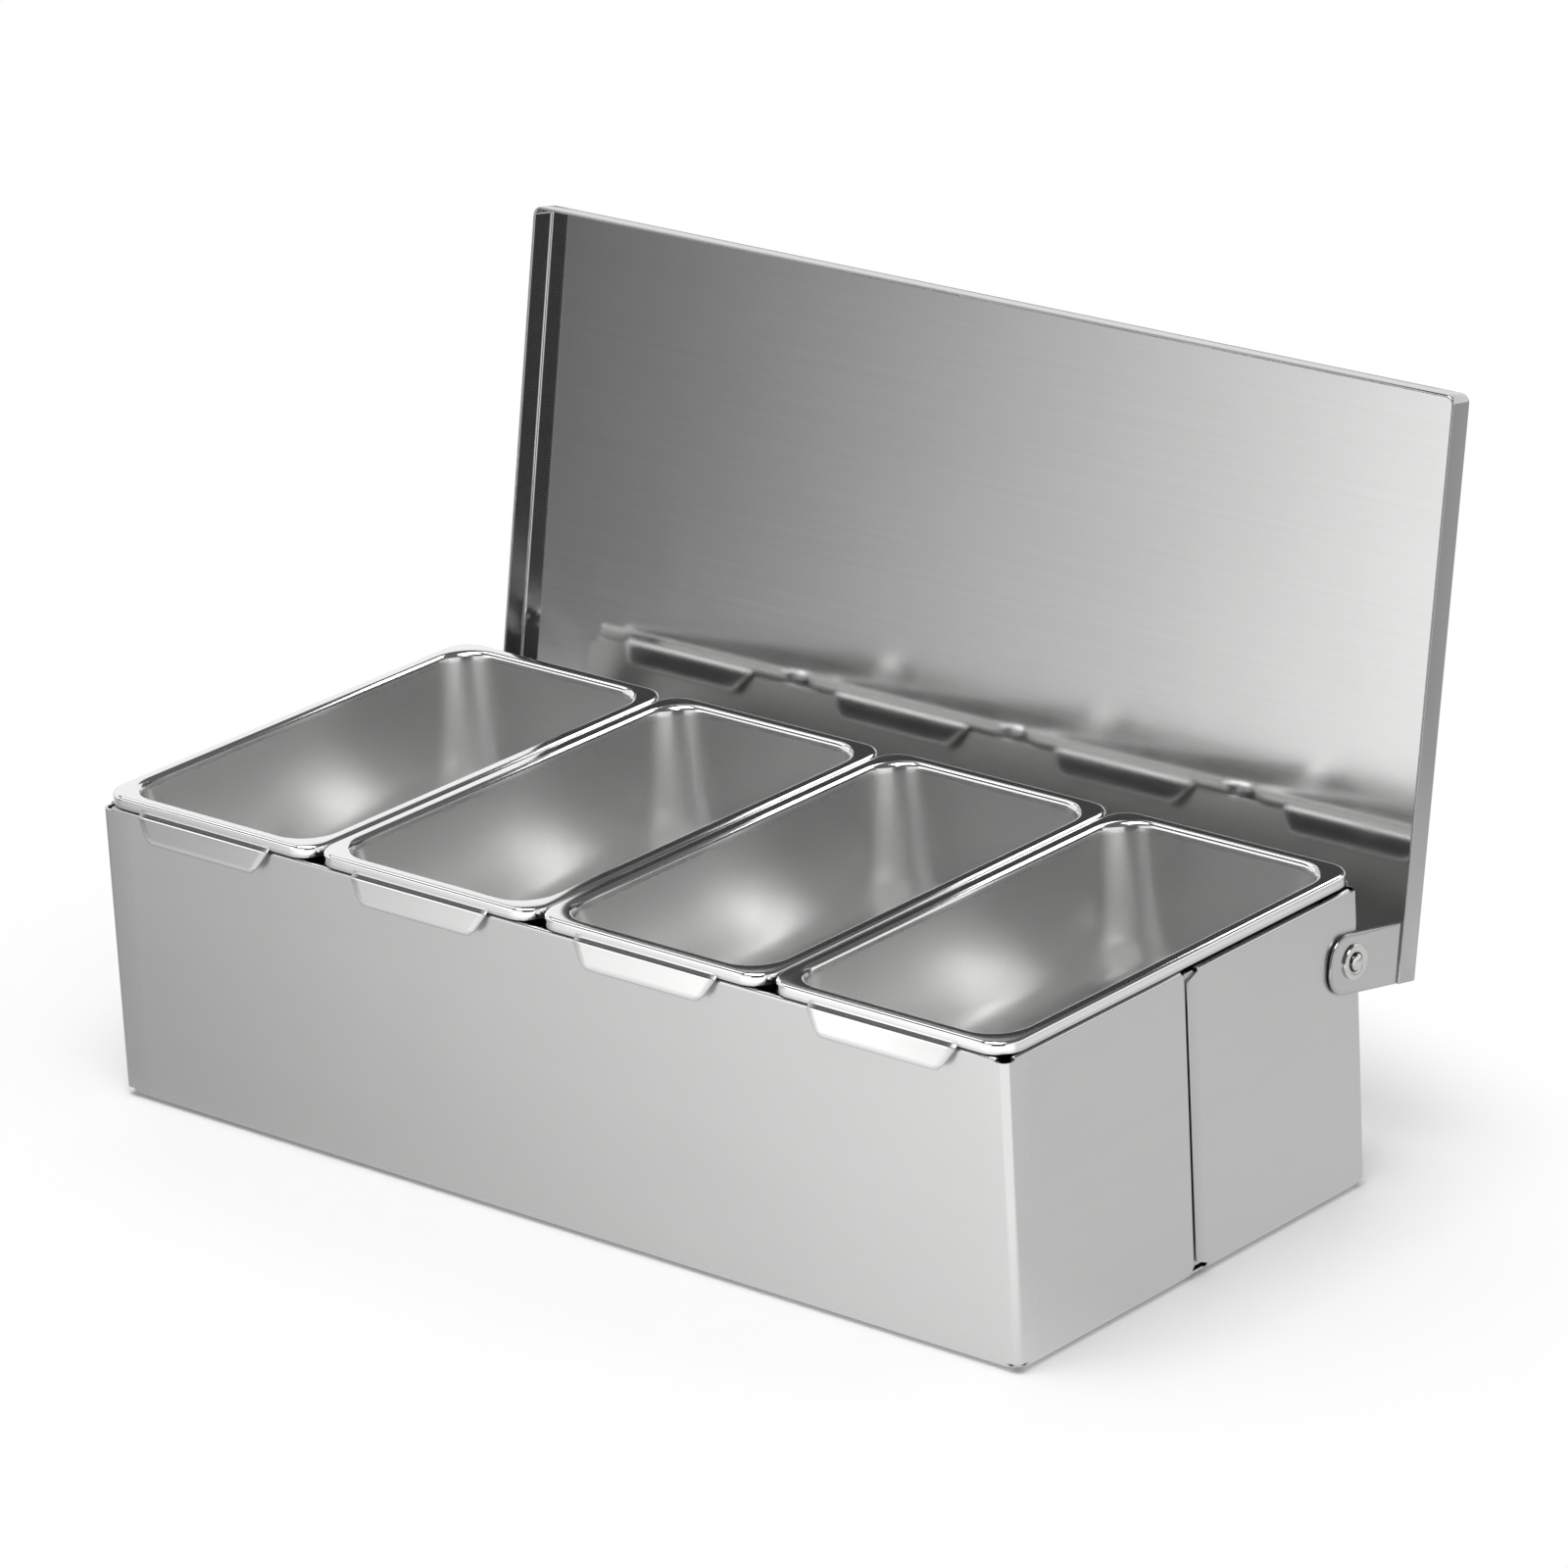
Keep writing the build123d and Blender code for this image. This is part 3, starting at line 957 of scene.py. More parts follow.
    def tongue(self, end: End) -> Patch:
        """Make the joggled tongue that slips behind the rear wrap at one end of the tray.

        The tongue is as tall as the wall at its neck. Past the neck its top and bottom draw in over a short
        slope.

        Args:
            end: the end of the tray.

        Returns:
            The tongue.
        """
        start = self.seam_y - self.joggle_length
        x, inner = end.value * self.wall_x, end.value * (self.wall_x - self.sheet)
        corners = [
            (x, start), (x, start + self.edge), (inner, self.seam_y - self.edge),
            (inner, self.seam_y + self.seam_lap),
        ]
        path = trace_line(corners, [self.edge / 2] * 2, spacing=self.tongue_spacing, soft_end=self.edge)
        low, high = self.upright_bottom + self.lap_neck_margin, self.upright_top - self.lap_neck_margin
        section = trace_line([(0.0, low), (0.0, high)], [], soft_start=self.edge, soft_end=self.edge)
        plain = sweep(section, path, self.sheet, ALL_SIDES - {Side.FIRST_COLUMN})
        y = path.points[:, 1]
        past = np.clip((y - self.seam_y - self.lap_neck + self.edge) / self.sheet, 0.0, 1.0)
        centre, half = (low + high) / 2, (high - low) / 2
        share = 1.0 - past * (self.lap_margin - self.lap_neck_margin) / half
        middle = plain.middle.copy()
        middle[..., 2] = centre + (middle[..., 2] - centre) * share
        # The seam's crevice across the joggle is painted with shade, darkening the colour
        painted_shade = np.where((y > start + self.edge) & (y < self.seam_y + self.sheet), -1.0, 0.0)
        return replace(plain, middle=middle, wear_and_painted_light=np.broadcast_to(painted_shade, middle.shape[:2])).patch()

    def rear_patches(self) -> list[Patch]:
        """Make the rear wall with its two wings, rounded at the seam, and its flanges and hems.

        Returns:
            The patches of the rear wrap.
        """
        x, y, rear, side = self.wall_x, self.wall_y, self.long_reach, self.side_reach
        around = [(x, self.seam_y), (x, y), (-x, y), (-x, self.seam_y)]
        path = trace_line(
            around, [self.corner_bend] * 2, self.rear_spacing, self.edge, self.edge, self.corner_steps
        )
        top = self.upright_top - self.rear_wing_drop
        wing_start = self.seam_y + self.seam_corner_radius + self.hem_relief
        wing_top = self.wall_top - self.rear_wing_drop
        patches = [self.rounded_seam(self.upright(path, top, BOTH_ENDS)).patch()]
        patches += self.trims((rear, y), (-rear, y), top, self.wall_top)
        patches += self.trims((x, wing_start), (x, side), top, wing_top)
        patches += self.trims((-x, side), (-x, wing_start), top, wing_top)
        return patches

    def rounded_seam(self, wall: Sheet) -> Sheet:
        """Round the corners of the rear wrap where its edges lie over the front wrap.

        Within the corner radius of an end, the wall's top and bottom draw in by the radius less the root of
        the radius squared less the square of what is left of it. Heights between them draw in evenly.

        Args:
            wall: the upright part of the rear wrap.

        Returns:
            The same wall with rounded corners.
        """
        radius = self.seam_corner_radius
        travelled = wall.run[0, :, 0]
        left = np.clip(radius - np.minimum(travelled, travelled[-1] - travelled), 0.0, radius)
        drawn = radius - np.sqrt(radius**2 - left**2)
        middle = wall.middle.copy()
        z = middle[..., 2]
        centre, half = (z.max() + z.min()) / 2, np.ptp(z) / 2
        middle[..., 2] = centre + (z - centre) * (half - drawn) / half
        return replace(wall, middle=middle)

    def build(self, finishes: Finishes) -> None:
        """Make both wraps and dress them and the base plate.

        Args:
            finishes: the materials.
        """
        for name, patches in (("front_wrap", self.front_patches()), ("rear_wrap", self.rear_patches())):
            piece = build_piece(name + "_sheet", patches, finishes.case)
            dress(piece, Body.CASE.value, Slot.CASE, name)
        carry_over("base_plate", finishes.case_flat)


def loop_directions(corner_steps: int, long_steps: int, short_steps: int) -> np.ndarray:
    """Give the direction and the corner shares of the points round a rounded rectangle.

    A quarter turn at each corner keeps the corner's signs, and the straight side after it keeps its direction
    while the signs pass evenly to the next corner's. The last point lies on the first.

    Args:
        corner_steps: steps in a corner.
        long_steps: steps in a side along Y.
        short_steps: steps in a side along X.

    Returns:
        Rows of angle, share of the half size in X and share of the half size in Y.
    """
    signs = np.array([(1.0, 1.0), (-1.0, 1.0), (-1.0, -1.0), (1.0, -1.0), (1.0, 1.0)])
    parts = [np.array([(0.0, 1.0, 1.0)])]
    for n in range(4):
        turned = np.arange(1, corner_steps + 1) / corner_steps
        parts.append(together((n + turned) * math.pi / 2, *signs[n]))
        steps = short_steps if n % 2 == 0 else long_steps
        passed = np.arange(1, steps + 1) / steps
        shares = (signs[n, axis] * (1.0 - passed) + signs[n + 1, axis] * passed for axis in range(2))
        parts.append(together((n + 1) * math.pi / 2, *shares))
    return np.concatenate(parts).T


@dataclass(frozen=True)
class Pan:
    """One drawn pan with its rim, tub and two tabs."""

    name: str
    centre_x: float
    half_width: float
    half_depth: float
    rim_top: float
    floor_bottom: float
    wall_top: float
    sheet: float = 0.6
    rim_height: float = 3.2
    rim_flange: float = 4.2
    rim_corner_radius: float = 7.4
    rim_bend_radius: float = 1.0
    mouth_corner_radius: float = 10.0
    mouth_bend_radius: float = 1.5
    wall_draft: float = 3.2
    floor_corner_radius: float = 18.0
    floor_bend_radius: float = 16.0
    foot_share: float = 0.05
    floor_crown: float = 0.5
    floor_loops: int = 8
    bend_steps: int = 10
    spacing: float = 1.5
    loop_steps: tuple[int, int, int] = (12, 20, 12)
    tab_top_width: float = 46.0
    tab_bottom_width: float = 38.0
    tab_corner_radius: float = 1.8
    tab_root: float = 1.6
    tab_wall_gap: float = 0.6
    tab_flare: float = 1.6
    tab_curl: float = 0.95
    tab_bend_radius: float = 0.8
    # The tabs count as rubbed smooth, which makes them smoother and paints a highlight into their colour
    tab_wear_and_highlight: float = 0.9
    tab_bottom: float = 74.6
    tab_columns: int = 21

    @classmethod
    def from_frame(cls, name: str, case: Case) -> "Pan":
        """Read one pan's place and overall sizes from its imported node.

        Args:
            name: name of the node.
            case: the case that it hangs in.

        Returns:
            The pan.
        """
        low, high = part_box(name)
        centre, half = (low.x + high.x) / 2 / MM, (high.x - low.x) / 2 / MM
        return cls(name, centre, half, case.half_depth, high.z / MM, low.z / MM, case.wall_top)

    def section(self) -> Trace:
        """Trace the pan's section from the skirt's free edge, over the rim and down to the floor's bend.

        The first value is the distance from the rim's outline, negative inside it, and the second the height.

        Returns:
            The middle line of the sheet.
        """
        edge = self.sheet / 2
        rim_level, floor_level = self.rim_top - edge, self.floor_bottom + edge
        lean = self.wall_draft / (self.rim_top - self.floor_bottom - self.sheet)
        wall_at_rim = -self.rim_flange + edge * math.hypot(1.0, lean)
        wall_at_floor = wall_at_rim - lean * (self.rim_top - floor_level)
        wall_at_level = wall_at_rim - lean * edge
        past_bend = wall_at_floor - self.floor_bend_radius * PAST_BEND_SHARE
        corners = [
            (-edge, self.rim_top - self.rim_height), (-edge, rim_level), (wall_at_level, rim_level),
            (wall_at_floor, floor_level), (past_bend, floor_level),
        ]
        radii = [self.rim_bend_radius - edge, self.mouth_bend_radius - edge, self.floor_bend_radius + edge]
        return trace_line(corners, radii, self.spacing, soft_start=edge, bend_steps=self.bend_steps)

    def corner_radii(self, across: np.ndarray) -> np.ndarray:
        """Give the upright corner radius of the loop at each distance from the rim's outline.

        It falls with the distance over the rim's bend, grows to the mouth's own radius over the flat rim,
        grows a little more down the wall, and falls with the distance again over the floor's bend.

        Args:
            across: distances from the outline, negative inside.

        Returns:
            A radius for each.
        """
        edge = self.sheet / 2
        mouth = -self.rim_flange + edge
        foot = mouth - self.wall_draft + self.floor_bend_radius * self.foot_share
        knots = [
            (-edge, self.rim_corner_radius - edge),
            (-self.rim_bend_radius, self.rim_corner_radius - self.rim_bend_radius),
            (mouth + self.mouth_bend_radius, self.mouth_corner_radius + self.mouth_bend_radius),
            (mouth, self.mouth_corner_radius + edge),
            (foot, self.floor_corner_radius + edge),
            (foot - self.floor_bend_radius, self.floor_corner_radius + edge - self.floor_bend_radius),
        ]
        places, sizes = np.array(knots).T
        return np.interp(-across, -places, sizes)

    def tub_sheet(self) -> Sheet:
        """Carry the section round rounded rectangles and close the floor to its middle.

        A loop's point is the corner centre's share of its half sizes less the radius, plus the radius times
        the direction there. The floor's loops shrink evenly to the middle, over a slight crown.

        Returns:
            The rim, wall and floor as one closed grid.
        """
        line = self.section()
        across, height = line.points.T
        pick, grow = closing(len(across), self.floor_loops)
        sizes = (self.half_width + across, self.half_depth + across, self.corner_radii(across))
        half_x, half_y, radius = (values[pick] * grow for values in sizes)
        crown = self.floor_crown * (1.0 - grow**2)
        angle, share_x, share_y = loop_directions(*self.loop_steps)
        x = self.centre_x + share_x * (half_x - radius)[:, None] + radius[:, None] * np.cos(angle)
        y = share_y * (half_y - radius)[:, None] + radius[:, None] * np.sin(angle)
        middle = together(x, y, (height[pick] + crown)[:, None])
        level, rise = line.outward[pick, :1], line.outward[pick, 1:]
        outward = together(level * np.cos(angle), level * np.sin(angle), rise)
        down = line.travelled[pick] + (1.0 - grow) * self.half_width
        run = together(travel(middle[0, :, :2]), down[:, None])
        # Near the rim the sheet counts as rubbed smooth, which makes it smoother and paints a highlight into
        # its colour, fading down the mouth's bend
        deep = (self.rim_top - height) / (self.mouth_bend_radius * 2)
        below = np.where(across < -self.rim_flange / 2, deep, 0.0)
        worn_and_highlit = (0.5 + 0.5 * np.cos(math.pi * np.clip(below, 0.0, 1.0)))[pick, None]
        wear_and_painted_light = np.broadcast_to(worn_and_highlit, middle.shape[:2])
        return Sheet(middle, outward, run, self.sheet, wear_and_painted_light, ONE_ROUND, BOTH_ENDS | {Side.LAST_ROW})

    def tab_sheet(self, side: int) -> Sheet:
        """Make the tab at the front or the back of the pan.

        The tab's half width grows from its bottom to the wall's top in a straight line, less the rounding of
        its lower corners.

        Args:
            side: -1 at the front and 1 at the back.

        Returns:
            The tab.
        """
        edge = self.sheet / 2
        proud = self.sheet / 30
        face = self.half_depth - edge + proud
        knee = self.half_depth + self.tab_wall_gap + edge
        rim_bottom = self.rim_top - self.rim_height
        corners = [
            (knee + self.tab_flare, self.tab_bottom), (knee, self.wall_top), (face, rim_bottom + self.sheet),
            (face, rim_bottom + self.tab_root),
        ]
        line = trace_line(corners, [self.tab_bend_radius] * 2, self.spacing, edge, edge)
        reach, height = line.points.T
        slope = (height - self.tab_bottom) / (self.wall_top - self.tab_bottom)
        down = np.clip(1.0 - slope, 0.0, 1.0)
        reach = reach + self.tab_flare * (down**self.tab_curl - down)
        widening = self.tab_top_width - self.tab_bottom_width
        width = self.tab_bottom_width + widening * np.clip(slope, 0.0, 1.0)
        corner = self.tab_corner_radius
        left = np.clip(corner - (height - self.tab_bottom), 0.0, corner)
        half = width / 2 - corner + np.sqrt(corner**2 - left**2)
        columns = np.linspace(0.0, 2.0, self.tab_columns) - 1.0
        rim = edge * EDGE_SHARES[:-1]
        share = np.concatenate([-np.ones_like(rim), columns, np.ones_like(rim)])
        nudge = np.concatenate([rim - edge, np.zeros_like(columns), (edge - rim)[::-1]])
        x = share * (half - edge)[:, None] + nudge
        middle = together(self.centre_x + x, side * reach[:, None], height[:, None])
        outward = together(np.zeros_like(x), side * line.outward[:, :1], line.outward[:, 1:])
        run = together(x, line.travelled[:, None])
        return Sheet(middle, outward, run, self.sheet, np.full(x.shape, self.tab_wear_and_highlight), ALL_SIDES)

    def build(self, finishes: Finishes) -> None:
        """Make the pan and dress it.

        Args:
            finishes: the materials.
        """
        patches = [self.tub_sheet().patch(), self.tab_sheet(-1).patch(), self.tab_sheet(1).patch()]
        piece = build_piece(self.name + "_drawn", patches, finishes.pan)
        dress(piece, self.name, Slot.PAN, self.name)


@dataclass(frozen=True)
class Lid:
    """The lid's panel and ears in the lid's own frame: X along the hinge, up the panel, out of its back."""

    pivot_y: float
    pivot_z: float
    half_width: float
    lean: float = 10.9
    sheet: float = 0.7
    panel_rise: float = 26.1
    reach: float = 139.09
    tail: float = 8.3
    flange: float = 7.5
    corner_radius: float = 2.4
    bend_radius: float = 1.4
    panel_loops: int = 26
    leg_points: int = 25
    front_points: int = 41
    corner_points: int = 9
    buckle_depth: float = 0.1
    across_wave: Pair = (4.1, 0.7)
    slanted_wave: Triple = (7.3, 2.2, 0.5)
    ear_thickness: float = 0.9
    ear_nose: float = 9.3
    ear_top: float = 7.3
    ear_nose_radius: float = 6.5
    ear_heel_radius: float = 2.0
    ear_heel_gap: float = 0.1
    ear_rings: int = 5
    ear_spacing: float = 3.0
    hole_radius: float = 1.55

    @classmethod
    def from_frame(cls) -> "Lid":
        """Read the hinge's place and the lid's width from the frame.

        Returns:
            The lid.
        """
        hinge = next(joint for joint in frame["joints"] if joint["type"] == "hinge")
        _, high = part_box("lid_panel")
        return cls(hinge["pos_m"][1] / MM, hinge["pos_m"][2] / MM, high.x / MM)

    def placed(self, x: np.ndarray | float, up: np.ndarray, out: np.ndarray) -> np.ndarray:
        """Turn places in the lid's own frame into the tray's frame, leaning back by the lid's angle.

        Args:
            x: places along the hinge.
            up: places up the panel.
            out: places out of the panel's back.

        Returns:
            Points, with X, Y and Z along the last axis.
        """
        lean = math.radians(self.lean)
        y = self.pivot_y + out * math.cos(lean) + up * math.sin(lean)
        z = self.pivot_z - out * math.sin(lean) + up * math.cos(lean)
        return together(x, y, z)

    def turned(self, x: np.ndarray, up: np.ndarray, out: np.ndarray) -> np.ndarray:
        """Turn directions in the lid's own frame into the tray's frame."""
        return self.placed(x, up, out) - np.array([0.0, self.pivot_y, self.pivot_z])

    def panel_sheet(self) -> Sheet:
        """Carry the flange's section round both ends and the front edge, and close the panel to its middle.

        Each loop runs up one end from the open back edge, across the front and down the other end. Inside the
        bend the loops narrow evenly to the panel's middle line, and their front draws back by half as much.

        Returns:
            The panel with its flanges.
        """
        edge = self.sheet / 2
        level = self.panel_rise - edge
        past_bend = -edge - self.bend_radius * PAST_BEND_SHARE
        corners = [(-edge, self.panel_rise - self.flange), (-edge, level), (past_bend, level)]
        line = trace_line(corners, [self.bend_radius - edge], soft_start=edge)
        across = line.points[:, 0]
        pick, grow = closing(len(across), self.panel_loops)
        half = (self.half_width + across)[pick] * grow
        front = (self.reach + across)[pick] * (0.5 + 0.5 * grow)
        radius = (self.corner_radius + across)[pick] * grow
        leg, cross = np.linspace(0.0, 1.0, self.leg_points), np.linspace(-1.0, 1.0, self.front_points)
        near, turn = edge * EDGE_SHARES[:-1], np.linspace(0.0, QUARTER_TURN, self.corner_points)[1:-1]
        # Each stretch of a loop: side share, climb share, distance from the back edge, direction
        stretches = (
            (-1.0, 0.0, near, math.pi),
            (-1.0, leg, edge, math.pi),
            (-1.0, 1.0, edge, math.pi - turn),
            (cross, 1.0, edge, QUARTER_TURN),
            (1.0, 1.0, edge, QUARTER_TURN - turn),
            (1.0, leg[::-1], edge, 0.0),
            (1.0, 0.0, near[::-1], 0.0),
        )
        sign, climb, start, face = np.concatenate([together(*stretch) for stretch in stretches]).T
        x = sign * (half - radius)[:, None] + radius[:, None] * np.cos(face)
        tall = (front - radius + self.tail - edge)[:, None]
        up = -self.tail + start + climb * tall + radius[:, None] * np.sin(face)
        level_part, rise = line.outward[pick, :1], line.outward[pick, 1:]
        outward = self.turned(level_part * np.cos(face), level_part * np.sin(face), rise)
        down = (line.travelled[pick] + (1.0 - grow) * self.half_width)[:, None]
        legs = up[:, : len(sign) // 2 + 1]
        along = np.concatenate([legs, 2 * legs[:, -1:] - legs[:, -2::-1]], axis=1)
        bent = np.broadcast_to(line.bent[pick, None], x.shape)
        folded = np.clip(line.travelled[-1] - down, 0.0, None)
        grain = together(x + folded * np.cos(face), up + folded * np.sin(face))
        push = self.wave(x, up) * (1.0 - bent)
        middle = self.placed(x, up, line.points[pick, 1:]) + outward * push[..., None]
        free, joined = BOTH_ENDS | {Side.FIRST_ROW}, frozenset({Side.LAST_ROW})
        run = together(along + self.tail, down)
        return Sheet(middle, outward, run, self.sheet, bent, free, joined, grain)

    def wave(self, x: np.ndarray, up: np.ndarray) -> np.ndarray:
        """Give how far the panel stands out of its plane, as a wide sheet does.

        It is the depth times slow sines of both places on the panel, and fades to nothing at its sides.

        Args:
            x: places along the hinge.
            up: places up the panel.

        Returns:
            The push at each place.
        """
        u, v = x / self.half_width, (up + self.tail) / (self.reach + self.tail)
        calm = np.clip(1.0 - u**2, 0.0, 1.0) * np.sin(math.pi * np.clip(v, 0.0, 1.0))
        (turns, shift), (rising, slant, share) = self.across_wave, self.slanted_wave
        return self.buckle_depth * calm * (np.sin(turns * u + shift) + share * np.sin(rising * v - slant * u))

    def ear_sheet(self, end: End) -> Sheet:
        """Make one ear: loops that pass evenly from its outline to the rivet hole.

        Args:
            end: the end of the tray that it stands at.

        Returns:
            The ear.
        """
        heel = self.panel_rise - self.bend_radius - self.ear_heel_gap
        corners = [
            (heel, 0.0), (heel, self.ear_top), (-self.ear_nose, self.ear_top), (-self.ear_nose, -self.tail),
            (heel, -self.tail), (heel, 0.0),
        ]
        radii = [self.sheet / 2, self.ear_nose_radius, self.ear_nose_radius, self.ear_heel_radius]
        outline = trace_line(corners, radii, self.ear_spacing)
        distance = np.hypot(*outline.points.T)
        toward = outline.points / distance[:, None]
        edge = self.ear_thickness / 2
        rings = distance - np.append(edge * EDGE_SHARES, edge * 3)[:, None]
        rest = np.linspace(0.0, 1.0, self.ear_rings + 1)[1:, None]
        rings = np.concatenate([rings, rings[-1:] * (1.0 - rest) + self.hole_radius * rest])
        out, up = (toward[:, n] * rings for n in range(2))
        middle = self.placed(end.value * (self.half_width - self.sheet - edge), up, out)
        outward = np.broadcast_to([float(end.value), 0.0, 0.0], middle.shape)
        run = together(outline.travelled, distance - rings)
        return Sheet(middle, outward, run, self.ear_thickness, np.zeros_like(rings), ONE_ROUND, BOTH_ENDS)

    def build(self, finishes: Finishes) -> None:
        """Make the panel and the ears and dress them.

        Args:
            finishes: the materials.
        """
        panel = build_piece("lid_panel_sheet", [self.panel_sheet().patch()], finishes.lid)
        dress(panel, Body.LID.value, Slot.LID, "lid_panel")
        for end in End:
            name = "lid_ear_" + end.name.lower()
            ear = build_piece(name + "_plate", [self.ear_sheet(end).patch()], finishes.lid)
            dress(ear, Body.LID.value, Slot.LID, name)


@dataclass(frozen=True)
class Rivet:
    """One hinge rivet: a ringed, domed head, a shank and a tail inside the case."""

    end: End
    pivot_y: float
    pivot_z: float
    tip_x: float
    root_x: float
    dome_height: float = 0.9
    head_thickness: float = 0.8
    head_radius: float = 4.6
    head_edge_radius: float = 0.4
    head_chamfer: float = 0.05
    groove_depth: float = 0.35
    groove_climb: float = 1.6
    dome_radius: float = 2.3
    shank_radius: float = 1.5
    tail_radius: float = 2.2
    tail_height: float = 1.2
    round_steps: int = 48
    arc_points: int = 9
    ring_points: int = 11

    @classmethod
    def from_frame(cls, end: End, lid: Lid) -> "Rivet":
        """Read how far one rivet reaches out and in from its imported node.

        Args:
            end: the end of the tray that it stands at.
            lid: the lid that turns on it.

        Returns:
            The rivet.
        """
        low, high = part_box("rivet_" + end.name.lower())
        root, tip = sorted([abs(low.x) / MM, abs(high.x) / MM])
        return cls(end, lid.pivot_y, lid.pivot_z, tip, root)

    def profile(self) -> np.ndarray:
        """Trace the rivet's half section from the dome's top to the tail's tip.

        The dome and the tail are parts of circles, and a shallow groove lies between the dome and the ring.

        Returns:
            Distance from the tray's middle and radius, for each point.
        """
        head = self.tip_x - self.dome_height
        under, foot = head - self.head_thickness, self.root_x + self.tail_height
        turn = np.linspace(0.0, QUARTER_TURN, self.arc_points)
        swell = np.linspace(0.0, math.pi, self.ring_points)[1:]
        dome_x = head - self.groove_depth + (self.dome_height + self.groove_depth) * np.cos(turn)
        ring = self.head_radius - self.head_edge_radius
        middle, half = (self.dome_radius + ring) / 2, (ring - self.dome_radius) / 2
        climb = np.clip(swell * self.groove_climb, 0.0, math.pi)
        edge_x = head - self.head_edge_radius + self.head_edge_radius * np.cos(turn[1:])
        shank = [
            (under + self.head_chamfer, self.head_radius), (under, self.head_radius - self.head_chamfer),
            (under, self.shank_radius), (foot, self.shank_radius), (foot, self.tail_radius),
        ]
        line = np.concatenate([
            together(dome_x, self.dome_radius * np.sin(turn)),
            together(head - self.groove_depth * (0.5 + 0.5 * np.cos(climb)), middle - half * np.cos(swell)),
            together(edge_x, ring + self.head_edge_radius * np.sin(turn[1:])),
            shank,
            together(foot - self.tail_height * np.sin(turn[1:]), self.tail_radius * np.cos(turn[1:])),
        ])
        line[[0, -1], 1] = 0.0
        return line

    def build(self, finishes: Finishes) -> None:
        """Carry the profile round the rivet's axis and dress the piece.

        Args:
            finishes: the materials.
        """
        line = self.profile()
        place, radius = line[:, :1], line[:, 1:]
        around = np.linspace(0.0, 2 * math.pi, self.round_steps + 1)
        y, z = self.pivot_y + radius * np.cos(around), self.pivot_z + radius * np.sin(around)
        grid = together(self.end.value * place, y, z)
        # The groove between dome and ring is painted with shade; the dome counts as rubbed smooth
        groove = np.abs(radius - self.dome_radius) < self.groove_depth
        wear_and_painted_light = np.broadcast_to(np.where(groove, -1.0, (radius < self.dome_radius) * 1.0), grid.shape[:2])
        points = grid.reshape(-1, 3)
        solid = Patch(points, grid_quads(*grid.shape[:2], 0), points[:, 1:] * MM, wear_and_painted_light.reshape(-1))
        name = "rivet_" + self.end.name.lower()
        piece = build_piece(name + "_head", [solid], finishes.rivet)
        dress(piece, Body.CASE.value, Slot.RIVET, name)


def standing(place: np.ndarray | Triple, side: np.ndarray, up: np.ndarray, back: np.ndarray) -> np.ndarray:
    """Give the four by four matrix that puts an object's own axes along side, up and back, at a place."""
    return np.vstack([np.column_stack([side, up, back, place]), [0.0, 0.0, 0.0, 1.0]])


@dataclass(frozen=True)
class Camera:
    """The photograph's camera, found by fitting the tray's corners."""

    azimuth: float = 42.0
    elevation: float = 20.81
    roll: float = -3.04
    distance: float = 1968.4
    target: Triple = (24.1, 0.0, 101.33)
    focal_pixels: float = 8119.9
    image_pixels: float = 1600.0
    sensor: float = 36.0
    clip: Pair = (0.01, 50.0)

    def build(self) -> None:
        """Make the camera and set it as the scene's.

        Back points from the target to the camera, right is level, and the roll turns right and up about back.
        """
        az, el, roll = (math.radians(v) for v in (self.azimuth, self.elevation, self.roll))
        back = np.array([math.sin(az) * math.cos(el), -math.cos(az) * math.cos(el), math.sin(el)])
        right = np.array([math.cos(az), math.sin(az), 0.0])
        up = np.cross(back, right)
        across = math.cos(roll) * right + math.sin(roll) * up
        above = math.cos(roll) * up - math.sin(roll) * right
        place = (np.array(self.target) + back * self.distance) * MM
        lens = bpy.data.cameras.new("photo_camera")
        lens.sensor_width = self.sensor
        lens.lens = self.focal_pixels * self.sensor / self.image_pixels
        lens.clip_start, lens.clip_end = self.clip
        eye = new_object("photo_camera", lens)
        eye.matrix_world = Matrix(standing(place, across, above, back).tolist())
        bpy.context.scene.camera = eye


def facing(place: Triple, aim: Triple) -> np.ndarray:
    """Place something so that its own Z axis points back from its aim, with its X axis level.

    Args:
        place: where it stands.
        aim: what it faces.

    Returns:
        A four by four matrix.
    """
    back = np.array(place) - np.array(aim)
    back = back / np.linalg.norm(back)
    side = np.cross([0.0, 0.0, 1.0], back)
    length = np.linalg.norm(side)
    side = side / length if length > UPRIGHT else np.array([1.0, 0.0, 0.0])
    return standing(place, side, np.cross(back, side), back)


# The corners of a level square that reaches 1 from its middle, anticlockwise from above
SQUARE = np.array([(-1.0, -1.0, 0.0), (1.0, -1.0, 0.0), (1.0, 1.0, 0.0), (-1.0, 1.0, 0.0)])


@dataclass(frozen=True)
class Lamp:
    """One soft lamp, aimed at a point of the tray. Lengths in metres."""

    name: str
    place: Triple
    aim: Triple
    width: float
    height: float
    power: float

    def build(self) -> None:
        """Make the lamp and turn it to its aim."""
        light = bpy.data.lights.new(self.name, "AREA")
        light.shape = "RECTANGLE"
        light.size, light.size_y, light.energy = self.width, self.height, self.power
        new_object(self.name, light).matrix_world = Matrix(facing(self.place, self.aim).tolist())


